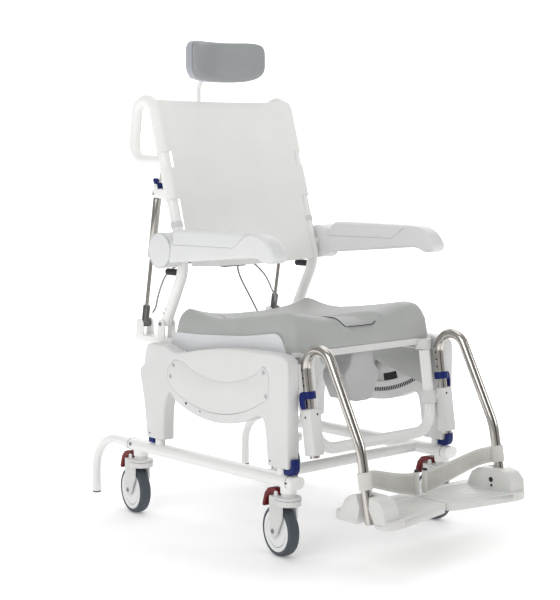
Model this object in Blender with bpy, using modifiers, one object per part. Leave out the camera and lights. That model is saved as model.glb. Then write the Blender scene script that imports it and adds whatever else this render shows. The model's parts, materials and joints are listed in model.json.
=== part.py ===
# Reclining shower wheelchair, pushed by a carer: a tilting seat with a reclining back on four braked casters.
# Metres, +Z up. The user faces -Y, +X is the user's left side, and z = 0 is the floor.

import math

import bmesh
import bpy
from mathutils import Matrix, Vector

ASSEMBLY_NAME = "reclining_shower_chair"

# Fits between neighbours
FIT_GAP = 0.0003
SLIDE_GAP = 0.0004
TUBE_GAP = 0.0006

# Widths, from the seat outwards and inwards
SEAT_HALF_WIDTH = 0.242
SHELL_GAP = 0.0085
SHELL_WIDTH = 0.038
SHELL_INNER_X = SEAT_HALF_WIDTH + SHELL_GAP
SHELL_OUTER_X = SHELL_INNER_X + SHELL_WIDTH
RAIL_X = (SHELL_INNER_X + SHELL_OUTER_X) / 2.0
BAR_INSET = 0.014
BAR_WIDTH = 0.022
BAR_OUTER_X = SEAT_HALF_WIDTH - BAR_INSET
BAR_INNER_X = BAR_OUTER_X - BAR_WIDTH
BACK_INSET = 0.014
BACK_X = SEAT_HALF_WIDTH - BACK_INSET
FRONT_TUBE_INSET = 0.039
FRONT_TUBE_X = SEAT_HALF_WIDTH - FRONT_TUBE_INSET
LEG_TUBE_INSET = 0.0104
LEG_TUBE_X = SEAT_HALF_WIDTH - LEG_TUBE_INSET

# Casters
WHEEL_RADIUS = 0.0625
WHEEL_WIDTH = 0.031
WHEEL_STEPS = 24
TREAD_DEPTH = 0.0095
DISC_STEP = 0.005
AXLE_RADIUS = 0.005
CASTER_TRAIL = 0.034
CASTER_REST_TURN = math.radians(-9.0)
FORK_CLEARANCE = 0.003
FORK_INNER = WHEEL_WIDTH / 2.0 + FORK_CLEARANCE
FORK_WALL = 0.005
CROWN_RADIUS = 0.031
CROWN_CLEARANCE = 0.005
CROWN_HEIGHT = 0.020
CROWN_BOTTOM = 2.0 * WHEEL_RADIUS + CROWN_CLEARANCE
CROWN_TOP = CROWN_BOTTOM + CROWN_HEIGHT
STEM_RADIUS = 0.006
STEM_END_GAP = 0.005
STEM_FRONT_Y = -0.247
STEM_REAR_Y = 0.334
BRAKE_WIDTH = 0.028
BRAKE_PIN_Y = 0.030
BRAKE_PIN_RISE = 0.005
BRAKE_PIN_Z = CROWN_TOP + BRAKE_PIN_RISE
PIN_RADIUS = 0.0022

# Base frame
BOSS_HEIGHT = 0.010
SOCKET_RADIUS = 0.020
SOCKET_BOTTOM = CROWN_TOP + BOSS_HEIGHT
SOCKET_DEPTH = 0.027
RAIL_Z = SOCKET_BOTTOM + SOCKET_DEPTH
STEM_TOP = RAIL_Z - STEM_END_GAP
RAIL_WIDTH = 0.046
RAIL_HEIGHT = 0.030
RAIL_FRONT_REACH = 0.031
RAIL_REAR_REACH = 0.051
RAIL_FRONT_Y = STEM_FRONT_Y - RAIL_FRONT_REACH
RAIL_REAR_Y = STEM_REAR_Y + RAIL_REAR_REACH
LEG_FRONT_SETBACK = 0.0215
LEG_REAR_SETBACK = 0.084
LEG_FRONT_Y = STEM_FRONT_Y + LEG_FRONT_SETBACK
LEG_REAR_Y = STEM_REAR_Y - LEG_REAR_SETBACK
CROSSBAR_SETBACK = 0.0665
CROSSBAR_Y = LEG_FRONT_Y + CROSSBAR_SETBACK
CROSSBAR_RADIUS = 0.014
POST_RADIUS = 0.013
POST_REACH = 0.1615

# Tubes behind the rear casters that stop the chair tipping back
TIP_TUBE_RADIUS = 0.0115
TIP_TUBE_REACH = 0.155
TIP_TUBE_Y = RAIL_REAR_Y + TIP_TUBE_REACH
TIP_TUBE_BOTTOM = 0.028
TIP_TUBE_BEND = 0.095

# Side frames and the arc that the seat tilts on
LATCH_HEIGHT = 0.0165
LATCH_WIDTH = 0.024
LEG_BOTTOM = RAIL_Z + RAIL_HEIGHT / 2.0 + LATCH_HEIGHT
POST_TOP = LEG_BOTTOM + POST_REACH
BORE_SPARE = 0.035
LEG_BORE_TOP = POST_TOP + BORE_SPARE
GROOVE_RISE = 0.1355
GROOVE_BOTTOM = LEG_BOTTOM + GROOVE_RISE
GROOVE_RADIUS = 0.316
GROOVE_WIDTH = 0.021
GROOVE_DEPTH = 0.006
TILT_Y = 0.008
TILT_Z = GROOVE_BOTTOM + GROOVE_RADIUS
COVER_DROP = 0.036
COVER_RADIUS = GROOVE_RADIUS + COVER_DROP
COVER_TOP_RADIUS = 0.300
COVER_TOP_RISE = 0.046
COVER_DEPTH = 0.003
COVER_SEAM = 0.0008
ARC_MARGIN = 0.023
ARC_BOTTOM_RADIUS = COVER_RADIUS + ARC_MARGIN
ROLLER_RADIUS = 0.0095
CARRIER_WALL = 0.0085

# Seat
SEAT_RISE = 0.124
SEAT_PLATE_BOTTOM = GROOVE_BOTTOM + SEAT_RISE
SEAT_PLATE_THICKNESS = 0.0105
SEAT_PLATE_TOP = SEAT_PLATE_BOTTOM + SEAT_PLATE_THICKNESS
SEAT_FRONT_Y = -0.235
SEAT_REAR_Y = 0.226
SKIRT_DROP = 0.026
SKIRT_BOTTOM = SEAT_PLATE_BOTTOM - SKIRT_DROP
SKIRT_WALL = 0.004
CUSHION_GAP = 0.001
CUSHION_HALF_WIDTH = SEAT_HALF_WIDTH - SKIRT_WALL - CUSHION_GAP
CUSHION_THICKNESS = 0.0425
OPENING_SETBACK = 0.205
OPENING_Y = SEAT_FRONT_Y + OPENING_SETBACK
OPENING_HALF_WIDTH = 0.080
OPENING_HALF_LENGTH = 0.120
INSERT_HALF_WIDTH = 0.112
INSERT_HALF_LENGTH = 0.165
BAR_DROP = 0.0175
BAR_BOTTOM = SEAT_PLATE_BOTTOM - BAR_DROP
BAR_TOP = SEAT_PLATE_BOTTOM - FIT_GAP
TIE_RADIUS = 0.009
TIE_DROP = 0.012

# Legrests
FRONT_TUBE_RADIUS = 0.014
FRONT_TUBE_Y = SEAT_FRONT_Y - 0.007
FRONT_TUBE_Z = SEAT_PLATE_BOTTOM - 0.022
FRONT_TUBE_LENGTH = 0.202
FRONT_TUBE_BEND = 0.060
LEG_TUBE_RADIUS = 0.0125
LEG_LEAN = 0.157
SLEEVE_WALL = 0.0045
SWING_Y = SEAT_FRONT_Y - 0.0628
SWING_Z = SEAT_PLATE_BOTTOM - 0.2324
FOOT_PIVOT_Y = SWING_Y - 0.1767
FOOT_PIVOT_Z = SWING_Z - 0.0856
FOOT_PIN_RADIUS = 0.004
FOOT_DROP = 0.022
FOOT_TOP = FOOT_PIVOT_Z - FOOT_DROP
FOOT_THICKNESS = 0.020
FOOT_FRONT_REACH = 0.0775
FOOT_REAR_REACH = 0.1085
FOOT_FRONT_Y = FOOT_PIVOT_Y - FOOT_FRONT_REACH
FOOT_REAR_Y = FOOT_PIVOT_Y + FOOT_REAR_REACH
STRAP_HALF_HEIGHT = 0.020
STRAP_THICKNESS = 0.0026

# Back
BACK_TUBE_RADIUS = 0.0145
RECLINE_Y = SEAT_REAR_Y + 0.049
RECLINE_Z = SEAT_PLATE_BOTTOM + 0.035
RECLINE_PIN_RADIUS = 0.004
BACK_KNEE = (RECLINE_Y - 0.079, RECLINE_Z + 0.152)
BACK_SLOPE = 0.29
SPRING_LOW_Y = RECLINE_Y + 0.092
SPRING_LOW_Z = RECLINE_Z - 0.006
SPRING_TOP_Y = BACK_KNEE[0] + 0.111
SPRING_TOP_Z = BACK_KNEE[1] + 0.186
SPRING_ROD_RADIUS = 0.005
CYLINDER_RADIUS = 0.011
EAR_WALL = 0.004
LEVER_Y = SPRING_TOP_Y - 0.008
LEVER_Z = SPRING_TOP_Z + 0.021
LOW_CROSS_Z = BACK_KNEE[1] + 0.025
TOP_CROSS_Z = BACK_KNEE[1] + 0.320
CROSS_RADIUS = 0.010
LOW_CROSS_BOW = 0.062
TOP_CROSS_BOW = 0.050
HANDLE_TOP = BACK_KNEE[1] + 0.432
HANDLE_LOW = BACK_KNEE[1] + 0.271
SLING_BOTTOM = BACK_KNEE[1] - 0.001
SLING_HEIGHT = 0.426
SLING_TOP = SLING_BOTTOM + SLING_HEIGHT
SLING_THICKNESS = 0.002
SLING_SAG = 0.034
ARM_HUB_Y = BACK_KNEE[0] + 0.014
ARM_HUB_Z = BACK_KNEE[1] + 0.046
ARM_HUB_RADIUS = 0.045
ARM_GAP = 0.007
ARM_WIDTH = 0.050
ARM_INNER_X = BACK_X + BACK_TUBE_RADIUS + ARM_GAP
ARM_OUTER_X = ARM_INNER_X + ARM_WIDTH

# Headrest
POST_Y = BACK_KNEE[0] + 0.222
HEAD_POST_RADIUS = 0.006
HEADREST_RISE = 0.107
HEADREST_Z = SLING_TOP + HEADREST_RISE
HEADREST_REACH = 0.140
HEADREST_FRONT_Y = POST_Y - HEADREST_REACH
HEADREST_HALF_WIDTH = 0.127
HEADREST_HEIGHT = 0.103
HEADREST_THICKNESS = 0.050
HEADREST_BEND = 0.030

SIDES = (("right", -1.0), ("left", 1.0))


def clear_scene():
    for obj in list(bpy.data.objects):
        bpy.data.objects.remove(obj, do_unlink=True)


def new_collection(name):
    collection = bpy.data.collections.new(name)
    bpy.context.scene.collection.children.link(collection)
    return collection


def new_material(name, colour, roughness, metallic):
    material = bpy.data.materials.new(name)
    material.use_nodes = True
    shader = material.node_tree.nodes["Principled BSDF"]
    shader.inputs["Base Color"].default_value = (*colour, 1.0)
    shader.inputs["Roughness"].default_value = roughness
    shader.inputs["Metallic"].default_value = metallic
    return material


def settle(obj):
    # Turns curves and modifiers into one welded mesh in world coordinates.
    bpy.context.view_layer.update()
    graph = bpy.context.evaluated_depsgraph_get()
    mesh = bpy.data.meshes.new_from_object(obj.evaluated_get(graph))
    mesh.transform(obj.matrix_world)
    shape = bmesh.new()
    shape.from_mesh(mesh)
    bmesh.ops.remove_doubles(shape, verts=shape.verts, dist=0.00001)
    bmesh.ops.recalc_face_normals(shape, faces=shape.faces)
    shape.to_mesh(mesh)
    shape.free()
    solid = bpy.data.objects.new(obj.name, mesh)
    bpy.context.scene.collection.objects.link(solid)
    bpy.data.objects.remove(obj, do_unlink=True)
    return solid


def combine(target, tools, operation):
    for tool in tools:
        modifier = target.modifiers.new("combine", "BOOLEAN")
        modifier.solver = "EXACT"
        modifier.operation = operation
        modifier.object = tool
        target = settle(target)
        bpy.data.objects.remove(tool, do_unlink=True)
    return target


def union(target, *tools):
    return combine(target, tools, "UNION")


def cut(target, *tools):
    return combine(target, tools, "DIFFERENCE")


def bevelled(obj, width, segments=1, angle=40.0):
    modifier = obj.modifiers.new("edges", "BEVEL")
    modifier.width = width
    modifier.segments = segments
    modifier.limit_method = "ANGLE"
    modifier.angle_limit = math.radians(angle)
    return settle(obj)


def box(low, high, edge=0.0):
    low = Vector(low)
    high = Vector(high)
    bpy.ops.mesh.primitive_cube_add(size=1.0, location=(low + high) / 2.0, scale=high - low)
    solid = settle(bpy.context.object)
    if edge > 0.0:
        solid = bevelled(solid, edge)
    return solid


def rod(start, end, radius, sides=16):
    start = Vector(start)
    end = Vector(end)
    axis = end - start
    turn = axis.to_track_quat("Z", "Y").to_euler()
    bpy.ops.mesh.primitive_cylinder_add(
        vertices=sides, radius=radius, depth=axis.length, location=(start + end) / 2.0, rotation=turn
    )
    return settle(bpy.context.object)


def rounded_path(corners, radius, steps=4):
    # A polyline whose inner corners are bent to the given radius.
    corners = [Vector(corner) for corner in corners]
    points = [corners[0]]
    for before, corner, after in zip(corners, corners[1:], corners[2:]):
        arm_in = (before - corner).normalized()
        arm_out = (after - corner).normalized()
        half = arm_in.angle(arm_out) / 2.0
        reach = radius / math.tan(half)
        centre = corner + (arm_in + arm_out).normalized() * radius / math.sin(half)
        first = corner + arm_in * reach - centre
        last = corner + arm_out * reach - centre
        sweep = math.pi - 2.0 * half
        for step in range(steps + 1):
            share = step / steps
            blend = first * math.sin((1.0 - share) * sweep) + last * math.sin(share * sweep)
            points.append(centre + blend / math.sin(sweep))
    points.append(corners[-1])
    return points


def tube(points, radius, sides=12):
    curve = bpy.data.curves.new("tube", "CURVE")
    curve.dimensions = "3D"
    curve.fill_mode = "FULL"
    curve.bevel_depth = radius
    curve.bevel_resolution = (sides - 4) // 2
    curve.use_fill_caps = True
    spline = curve.splines.new("POLY")
    spline.points.add(len(points) - 1)
    for point, place in zip(spline.points, points):
        point.co = (*place, 1.0)
    obj = bpy.data.objects.new("tube", curve)
    bpy.context.scene.collection.objects.link(obj)
    return settle(obj)


def soft_path(points, steps=5):
    # A smooth line through the points, for cables.
    points = [Vector(point) for point in points]
    ends = [points[0] * 2.0 - points[1]] + points + [points[-1] * 2.0 - points[-2]]
    line = []
    for before, start, end, after in zip(ends, ends[1:], ends[2:], ends[3:]):
        for step in range(steps):
            s = step / steps
            line.append(
                0.5 * (
                    2.0 * start
                    + (end - before) * s
                    + (2.0 * before - 5.0 * start + 4.0 * end - after) * s ** 2
                    + (3.0 * start - before - 3.0 * end + after) * s ** 3
                )
            )
    line.append(points[-1])
    return line


PLANES = {
    "YZ": Matrix(((0, 0, 1, 0), (1, 0, 0, 0), (0, 1, 0, 0), (0, 0, 0, 1))),
    "XZ": Matrix(((1, 0, 0, 0), (0, 0, -1, 0), (0, 1, 0, 0), (0, 0, 0, 1))),
    "XY": Matrix.Identity(4),
}


def plate(outline, plane, low, high):
    # A flat outline in one plane, made thick between two levels on the third axis.
    curve = bpy.data.curves.new("plate", "CURVE")
    curve.dimensions = "2D"
    curve.fill_mode = "BOTH"
    curve.extrude = (high - low) / 2.0
    spline = curve.splines.new("POLY")
    spline.points.add(len(outline) - 1)
    for point, place in zip(spline.points, outline):
        point.co = (place[0], place[1], 0.0, 1.0)
    spline.use_cyclic_u = True
    obj = bpy.data.objects.new("plate", curve)
    bpy.context.scene.collection.objects.link(obj)
    normal = {"YZ": Vector((1, 0, 0)), "XZ": Vector((0, 1, 0)), "XY": Vector((0, 0, 1))}[plane]
    obj.matrix_world = Matrix.Translation(normal * (low + high) / 2.0) @ PLANES[plane]
    return settle(obj)


def turned(profile, steps):
    # A closed profile of (radius, height) points turned about Z.
    mesh = bpy.data.meshes.new("turned")
    shape = bmesh.new()
    points = [shape.verts.new((radius, 0.0, height)) for radius, height in profile]
    for first, second in zip(points, points[1:] + points[:1]):
        shape.edges.new((first, second))
    shape.to_mesh(mesh)
    shape.free()
    obj = bpy.data.objects.new("turned", mesh)
    bpy.context.scene.collection.objects.link(obj)
    modifier = obj.modifiers.new("turn", "SCREW")
    modifier.steps = steps
    modifier.render_steps = steps
    modifier.use_merge_vertices = True
    modifier.merge_threshold = 0.00001
    return settle(obj)


def arc_points(centre, radius, start, end, steps):
    # Points on a circle; angles in degrees from straight down, positive to the rear.
    points = []
    for step in range(steps + 1):
        angle = math.radians(start + (end - start) * step / steps)
        points.append((centre[0] + radius * math.sin(angle), centre[1] - radius * math.cos(angle)))
    return points


def ring_points(centre, radius, steps, half_turn=False):
    offset = math.pi / steps if half_turn else 0.0
    points = []
    for step in range(steps):
        angle = offset + math.tau * step / steps
        points.append((centre[0] + radius * math.cos(angle), centre[1] + radius * math.sin(angle)))
    return points


def moved(obj, matrix):
    obj.data.transform(matrix)
    return obj


def copied(obj, matrix):
    mesh = obj.data.copy()
    mesh.transform(matrix)
    if matrix.determinant() < 0.0:
        mesh.flip_normals()
    twin = bpy.data.objects.new(obj.name, mesh)
    bpy.context.scene.collection.objects.link(twin)
    return twin


MIRROR = Matrix.Diagonal((-1.0, 1.0, 1.0, 1.0))


def new_body(name, location, parent=None):
    # An empty on the axis of the joint that carries a moving body.
    body = bpy.data.objects.new(name, None)
    body.empty_display_size = 0.03
    parts.objects.link(body)
    body.location = location
    bpy.context.view_layer.update()
    if parent is not None:
        body.parent = parent
        body.matrix_parent_inverse = parent.matrix_world.inverted()
        bpy.context.view_layer.update()
    return body


def place(obj, name, material, body, smooth=35.0):
    obj.name = name
    obj.data.name = name
    obj.data.materials.clear()
    obj.data.materials.append(material)
    for polygon in obj.data.polygons:
        polygon.material_index = 0
    obj.data.shade_smooth()
    obj.data.set_sharp_from_angle(angle=math.radians(smooth))
    for collection in list(obj.users_collection):
        collection.objects.unlink(obj)
    parts.objects.link(obj)
    obj.parent = body
    obj.matrix_parent_inverse = body.matrix_world.inverted()
    return obj


def place_pair(obj, stem, material, bodies, smooth=35.0):
    # The piece given is the left one, and its mirror image is the right one.
    twin = copied(obj, MIRROR)
    place(twin, stem + "_right", material, bodies["right"], smooth)
    place(obj, stem + "_left", material, bodies["left"], smooth)


def shifted(points, y, z):
    # Outline points given from a pivot or an edge, moved to where that lies.
    return [(y + point[0], z + point[1]) for point in points]


def leaning(x, y, z, height):
    # The point at a height on a line that leans like the legrest tubes.
    return Vector((x, y + LEG_LEAN * (height - z), height))


def back_y(height):
    return BACK_KNEE[0] + BACK_SLOPE * (height - BACK_KNEE[1])


clear_scene()
parts = new_collection(ASSEMBLY_NAME)

white_paint = new_material("white_paint", (0.80, 0.80, 0.79), 0.35, 0.0)
white_plastic = new_material("white_plastic", (0.78, 0.78, 0.77), 0.45, 0.0)
grey_plastic = new_material("grey_plastic", (0.42, 0.43, 0.43), 0.55, 0.0)
light_plastic = new_material("light_plastic", (0.62, 0.63, 0.65), 0.50, 0.0)
wheel_plastic = new_material("wheel_plastic", (0.55, 0.56, 0.56), 0.45, 0.0)
red_plastic = new_material("red_plastic", (0.26, 0.012, 0.013), 0.40, 0.0)
blue_plastic = new_material("blue_plastic", (0.012, 0.028, 0.25), 0.40, 0.0)
black_rubber = new_material("black_rubber", (0.02, 0.02, 0.02), 0.70, 0.0)
seat_foam = new_material("seat_foam", (0.43, 0.45, 0.45), 0.60, 0.0)
head_foam = new_material("head_foam", (0.32, 0.33, 0.33), 0.60, 0.0)
arm_foam = new_material("arm_foam", (0.40, 0.41, 0.41), 0.60, 0.0)
sling_cloth = new_material("sling_cloth", (0.75, 0.75, 0.73), 0.80, 0.0)
webbing = new_material("webbing", (0.58, 0.57, 0.54), 0.85, 0.0)
steel = new_material("steel", (0.56, 0.54, 0.52), 0.28, 1.0)
cable_grey = new_material("cable_grey", (0.30, 0.31, 0.32), 0.50, 0.0)

# Bodies, each on the axis of its joint
base = new_body("base", (0.0, 0.0, 0.0))
chassis = new_body("chassis", (0.0, 0.0, LEG_BOTTOM), base)
seat = new_body("seat", (0.0, TILT_Y, TILT_Z), chassis)
back = new_body("backrest", (0.0, RECLINE_Y, RECLINE_Z), seat)

# Base frame: two oval rails, a cross tube, four posts and four caster sockets
oval = []
for centre, start in ((1.0, -90.0), (-1.0, 90.0)):
    for step in range(6):
        angle = math.radians(start + 180.0 * step / 5)
        oval.append((
            RAIL_X + centre * (RAIL_WIDTH - RAIL_HEIGHT) / 2.0 + RAIL_HEIGHT / 2.0 * math.cos(angle),
            RAIL_Z + RAIL_HEIGHT / 2.0 * math.sin(angle),
        ))
rail = plate(oval, "XZ", RAIL_FRONT_Y, RAIL_REAR_Y)
for stem_y in (STEM_FRONT_Y, STEM_REAR_Y):
    socket = rod((RAIL_X, stem_y, SOCKET_BOTTOM), (RAIL_X, stem_y, RAIL_Z), SOCKET_RADIUS, 14)
    bore_low = (RAIL_X, stem_y, SOCKET_BOTTOM - 0.01)
    bore = rod(bore_low, (RAIL_X, stem_y, STEM_TOP + 0.001), STEM_RADIUS + SLIDE_GAP, 10)
    rail = cut(union(rail, socket), bore)
for leg_y in (LEG_FRONT_Y, LEG_REAR_Y):
    rail = union(rail, rod((RAIL_X, leg_y, RAIL_Z), (RAIL_X, leg_y, POST_TOP), POST_RADIUS, 12))
crossbar = rod((-RAIL_X, CROSSBAR_Y, RAIL_Z), (RAIL_X, CROSSBAR_Y, RAIL_Z), CROSSBAR_RADIUS, 12)
base_frame = union(copied(rail, MIRROR), rail, crossbar)
place(base_frame, "base_frame", white_paint, base)

tip_path = rounded_path(
    [
        (RAIL_X, RAIL_REAR_Y + FIT_GAP, RAIL_Z),
        (RAIL_X, TIP_TUBE_Y, RAIL_Z),
        (RAIL_X, TIP_TUBE_Y, TIP_TUBE_BOTTOM),
    ],
    TIP_TUBE_BEND,
    6,
)
place_pair(tube(tip_path, TIP_TUBE_RADIUS, 10), "anti_tip_tube", white_paint, {"right": base, "left": base})

# Casters, drawn with the stem on Z and the wheel trailing to +Y
rim = WHEEL_RADIUS / math.cos(math.pi / WHEEL_STEPS)
half_width = WHEEL_WIDTH / 2.0
wheel_profile = [
    (AXLE_RADIUS + SLIDE_GAP, -half_width + 0.0015),
    (WHEEL_RADIUS - TREAD_DEPTH - DISC_STEP, -half_width + 0.0015),
    (WHEEL_RADIUS - TREAD_DEPTH, -half_width),
    (rim, -half_width + 0.0075),
]
wheel_profile += [(radius, -height) for radius, height in reversed(wheel_profile)]
wheel = turned(wheel_profile, WHEEL_STEPS)
half_step = Matrix.Rotation(math.pi / WHEEL_STEPS, 4, "Z")
lay_down = Matrix.Rotation(math.pi / 2.0, 4, "Y")
moved(wheel, Matrix.Translation((0.0, CASTER_TRAIL, WHEEL_RADIUS)) @ lay_down @ half_step)

fork_front = CASTER_TRAIL - 0.038
fork_rear = CASTER_TRAIL + 0.016
cheek = [
    (-0.038, 0.0355),
    (-0.014, -0.0075),
    (-0.005, -0.0140),
    (0.006, -0.0135),
    (0.014, -0.0045),
    (0.016, 0.0475),
]
fork_outline = [(fork_front, CROWN_BOTTOM + 0.010)]
fork_outline += shifted(cheek, CASTER_TRAIL, WHEEL_RADIUS)
fork_outline += [(fork_rear, CROWN_BOTTOM + 0.010)]
fork = rod((0.0, 0.0, CROWN_BOTTOM), (0.0, 0.0, CROWN_TOP), CROWN_RADIUS, 16)
crown_block = box(
    (-FORK_INNER - FORK_WALL, fork_front, CROWN_BOTTOM),
    (FORK_INNER + FORK_WALL, fork_rear, CROWN_TOP - 0.003),
)
fork = union(fork, crown_block)
for side in (-1.0, 1.0):
    inner = side * FORK_INNER
    outer = side * (FORK_INNER + FORK_WALL)
    fork = union(fork, plate(fork_outline, "YZ", min(inner, outer), max(inner, outer)))
boss = rod((0.0, 0.0, CROWN_TOP - 0.002), (0.0, 0.0, SOCKET_BOTTOM - SLIDE_GAP), SOCKET_RADIUS - 0.002, 12)
stem = rod((0.0, 0.0, CROWN_TOP), (0.0, 0.0, STEM_TOP), STEM_RADIUS, 10)
axle_reach = FORK_INNER + FORK_WALL - 0.001
axle_ends = [(side * axle_reach, CASTER_TRAIL, WHEEL_RADIUS) for side in (-1.0, 1.0)]
axle = rod(axle_ends[0], axle_ends[1], AXLE_RADIUS, 10)
fork = union(fork, boss, stem, axle)
brake_ear = [
    (BRAKE_PIN_Y - 0.008, CROWN_TOP - 0.006),
    (BRAKE_PIN_Y + 0.008, CROWN_TOP - 0.006),
    (BRAKE_PIN_Y + 0.006, BRAKE_PIN_Z + 0.003),
    (BRAKE_PIN_Y, BRAKE_PIN_Z + 0.006),
    (BRAKE_PIN_Y - 0.006, BRAKE_PIN_Z + 0.003),
]
ear_inner = BRAKE_WIDTH / 2.0 + SLIDE_GAP
for low, high in ((-ear_inner - EAR_WALL, -ear_inner), (ear_inner, ear_inner + EAR_WALL)):
    fork = union(fork, plate(brake_ear, "YZ", low, high))
pin_reach = ear_inner + 0.002
brake_pin = rod((-pin_reach, BRAKE_PIN_Y, BRAKE_PIN_Z), (pin_reach, BRAKE_PIN_Y, BRAKE_PIN_Z), PIN_RADIUS, 8)
fork = union(fork, brake_pin)

pedal = [
    (-0.006, -0.0035),
    (-0.006, 0.0030),
    (0.005, 0.0090),
    (0.025, 0.0100),
    (0.042, 0.0050),
    (0.056, -0.0090),
    (0.066, -0.0370),
    (0.064, -0.0425),
    (0.057, -0.0420),
    (0.049, -0.0200),
    (0.036, -0.0070),
    (0.022, -0.0020),
]
brake_outline = shifted(pedal, BRAKE_PIN_Y, BRAKE_PIN_Z)
brake = bevelled(plate(brake_outline, "YZ", -BRAKE_WIDTH / 2.0, BRAKE_WIDTH / 2.0), 0.0012)
brake_bore = rod((-0.03, BRAKE_PIN_Y, BRAKE_PIN_Z), (0.03, BRAKE_PIN_Y, BRAKE_PIN_Z), PIN_RADIUS + FIT_GAP, 8)
brake = cut(brake, brake_bore)

for stem_name, stem_y in (("front", STEM_FRONT_Y), ("rear", STEM_REAR_Y)):
    for side_name, side in SIDES:
        tag = stem_name + "_" + side_name
        spot = Matrix.Translation((side * RAIL_X, stem_y, 0.0)) @ Matrix.Rotation(CASTER_REST_TURN, 4, "Z")
        caster = new_body("caster_" + tag, spot.translation, base)
        wheel_body = new_body("wheel_" + tag, spot @ Vector((0.0, CASTER_TRAIL, WHEEL_RADIUS)), caster)
        brake_body = new_body("brake_" + tag, spot @ Vector((0.0, BRAKE_PIN_Y, BRAKE_PIN_Z)), caster)
        place(copied(fork, spot), "caster_fork_" + tag, white_plastic, caster)
        place(copied(wheel, spot), "caster_wheel_" + tag, wheel_plastic, wheel_body)
        place(copied(brake, spot), "brake_pedal_" + tag, red_plastic, brake_body)
for pattern in (fork, wheel, brake):
    bpy.data.objects.remove(pattern, do_unlink=True)

# Side frames: two legs and an arch whose lower edge follows the tilt arc
axis_point = (TILT_Y, TILT_Z)
rear_leg = [
    (0.035, 0.0),
    (0.044, 0.0785),
    (0.056, 0.1335),
    (0.063, 0.1665),
    (0.059, 0.1815),
    (0.046, 0.1935),
    (0.040, 0.2215),
    (0.033, 0.2395),
    (0.020, 0.2485),
    (-0.045, 0.2485),
    (-0.060, 0.2435),
    (-0.085, 0.2360),
    (-0.115, 0.2385),
]
front_leg = [
    (0.0425, 0.2705),
    (-0.0095, 0.2685),
    (-0.0275, 0.2615),
    (-0.0380, 0.2435),
    (-0.0385, 0.1515),
    (-0.0370, 0.0),
    (0.0350, 0.0),
    (0.0385, 0.0415),
    (0.0435, 0.0815),
    (0.0515, 0.1075),
]
rear_inside = [(-0.064, 0.1305), (-0.046, 0.1075), (-0.039, 0.0765), (-0.036, 0.0315), (-0.0355, 0.0)]
shell_outline = shifted(rear_leg, LEG_REAR_Y, LEG_BOTTOM)
shell_outline += shifted([(0.052, 0.2525), (-0.028, 0.2635), (-0.098, 0.2685)], TILT_Y, LEG_BOTTOM)
shell_outline += shifted(front_leg, LEG_FRONT_Y, LEG_BOTTOM)
shell_outline += arc_points(axis_point, ARC_BOTTOM_RADIUS, -26.0, 25.0, 8)
shell_outline += shifted(rear_inside, LEG_REAR_Y, LEG_BOTTOM)
cover_front = [(-0.196, 0.020), (-0.205, 0.036), (-0.205, 0.078), (-0.196, 0.096), (-0.182, 0.101)]
cover_rear = [(0.142, 0.0815), (0.158, 0.0795), (0.178, 0.064), (0.184, 0.051), (0.184, 0.026)]
cover_top = (TILT_Y - 0.018, GROOVE_BOTTOM + COVER_TOP_RISE + COVER_TOP_RADIUS)
cover_outline = arc_points(axis_point, COVER_RADIUS, 28.5, -30.5, 7)
cover_outline += shifted(cover_front, TILT_Y, GROOVE_BOTTOM)
cover_outline += arc_points(cover_top, COVER_TOP_RADIUS, -29.0, 26.0, 6)
cover_outline += shifted(cover_rear, TILT_Y, GROOVE_BOTTOM)
centre_y = sum(point[0] for point in cover_outline) / len(cover_outline)
centre_z = sum(point[1] for point in cover_outline) / len(cover_outline)
shrink_y = 1.0 - COVER_SEAM / 0.19
shrink_z = 1.0 - COVER_SEAM / 0.05
cover_inset = [
    (centre_y + (y - centre_y) * shrink_y, centre_z + (z - centre_z) * shrink_z) for y, z in cover_outline
]
shell = bevelled(plate(shell_outline, "YZ", SHELL_INNER_X, SHELL_OUTER_X), 0.005, 1, 60.0)
for leg_y in (LEG_FRONT_Y, LEG_REAR_Y):
    leg_bore = rod((RAIL_X, leg_y, RAIL_Z), (RAIL_X, leg_y, LEG_BORE_TOP), POST_RADIUS + SLIDE_GAP, 12)
    shell = cut(shell, leg_bore)
groove_outline = arc_points(axis_point, GROOVE_RADIUS - GROOVE_WIDTH / 2.0, -35.5, 31.0, 9)
groove_outline += arc_points(axis_point, GROOVE_RADIUS + GROOVE_WIDTH / 2.0, 31.0, -35.5, 9)
shell = cut(shell, plate(groove_outline, "YZ", SHELL_INNER_X - 0.01, SHELL_INNER_X + GROOVE_DEPTH))
shell = cut(shell, plate(cover_outline, "YZ", SHELL_OUTER_X - COVER_DEPTH, SHELL_OUTER_X + 0.01))
place_pair(shell, "side_shell", white_plastic, {"right": chassis, "left": chassis}, 30.0)
cover = plate(cover_inset, "YZ", SHELL_OUTER_X - COVER_DEPTH + FIT_GAP, SHELL_OUTER_X + 0.0004)
place_pair(cover, "tilt_cover", white_plastic, {"right": chassis, "left": chassis}, 30.0)

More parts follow.
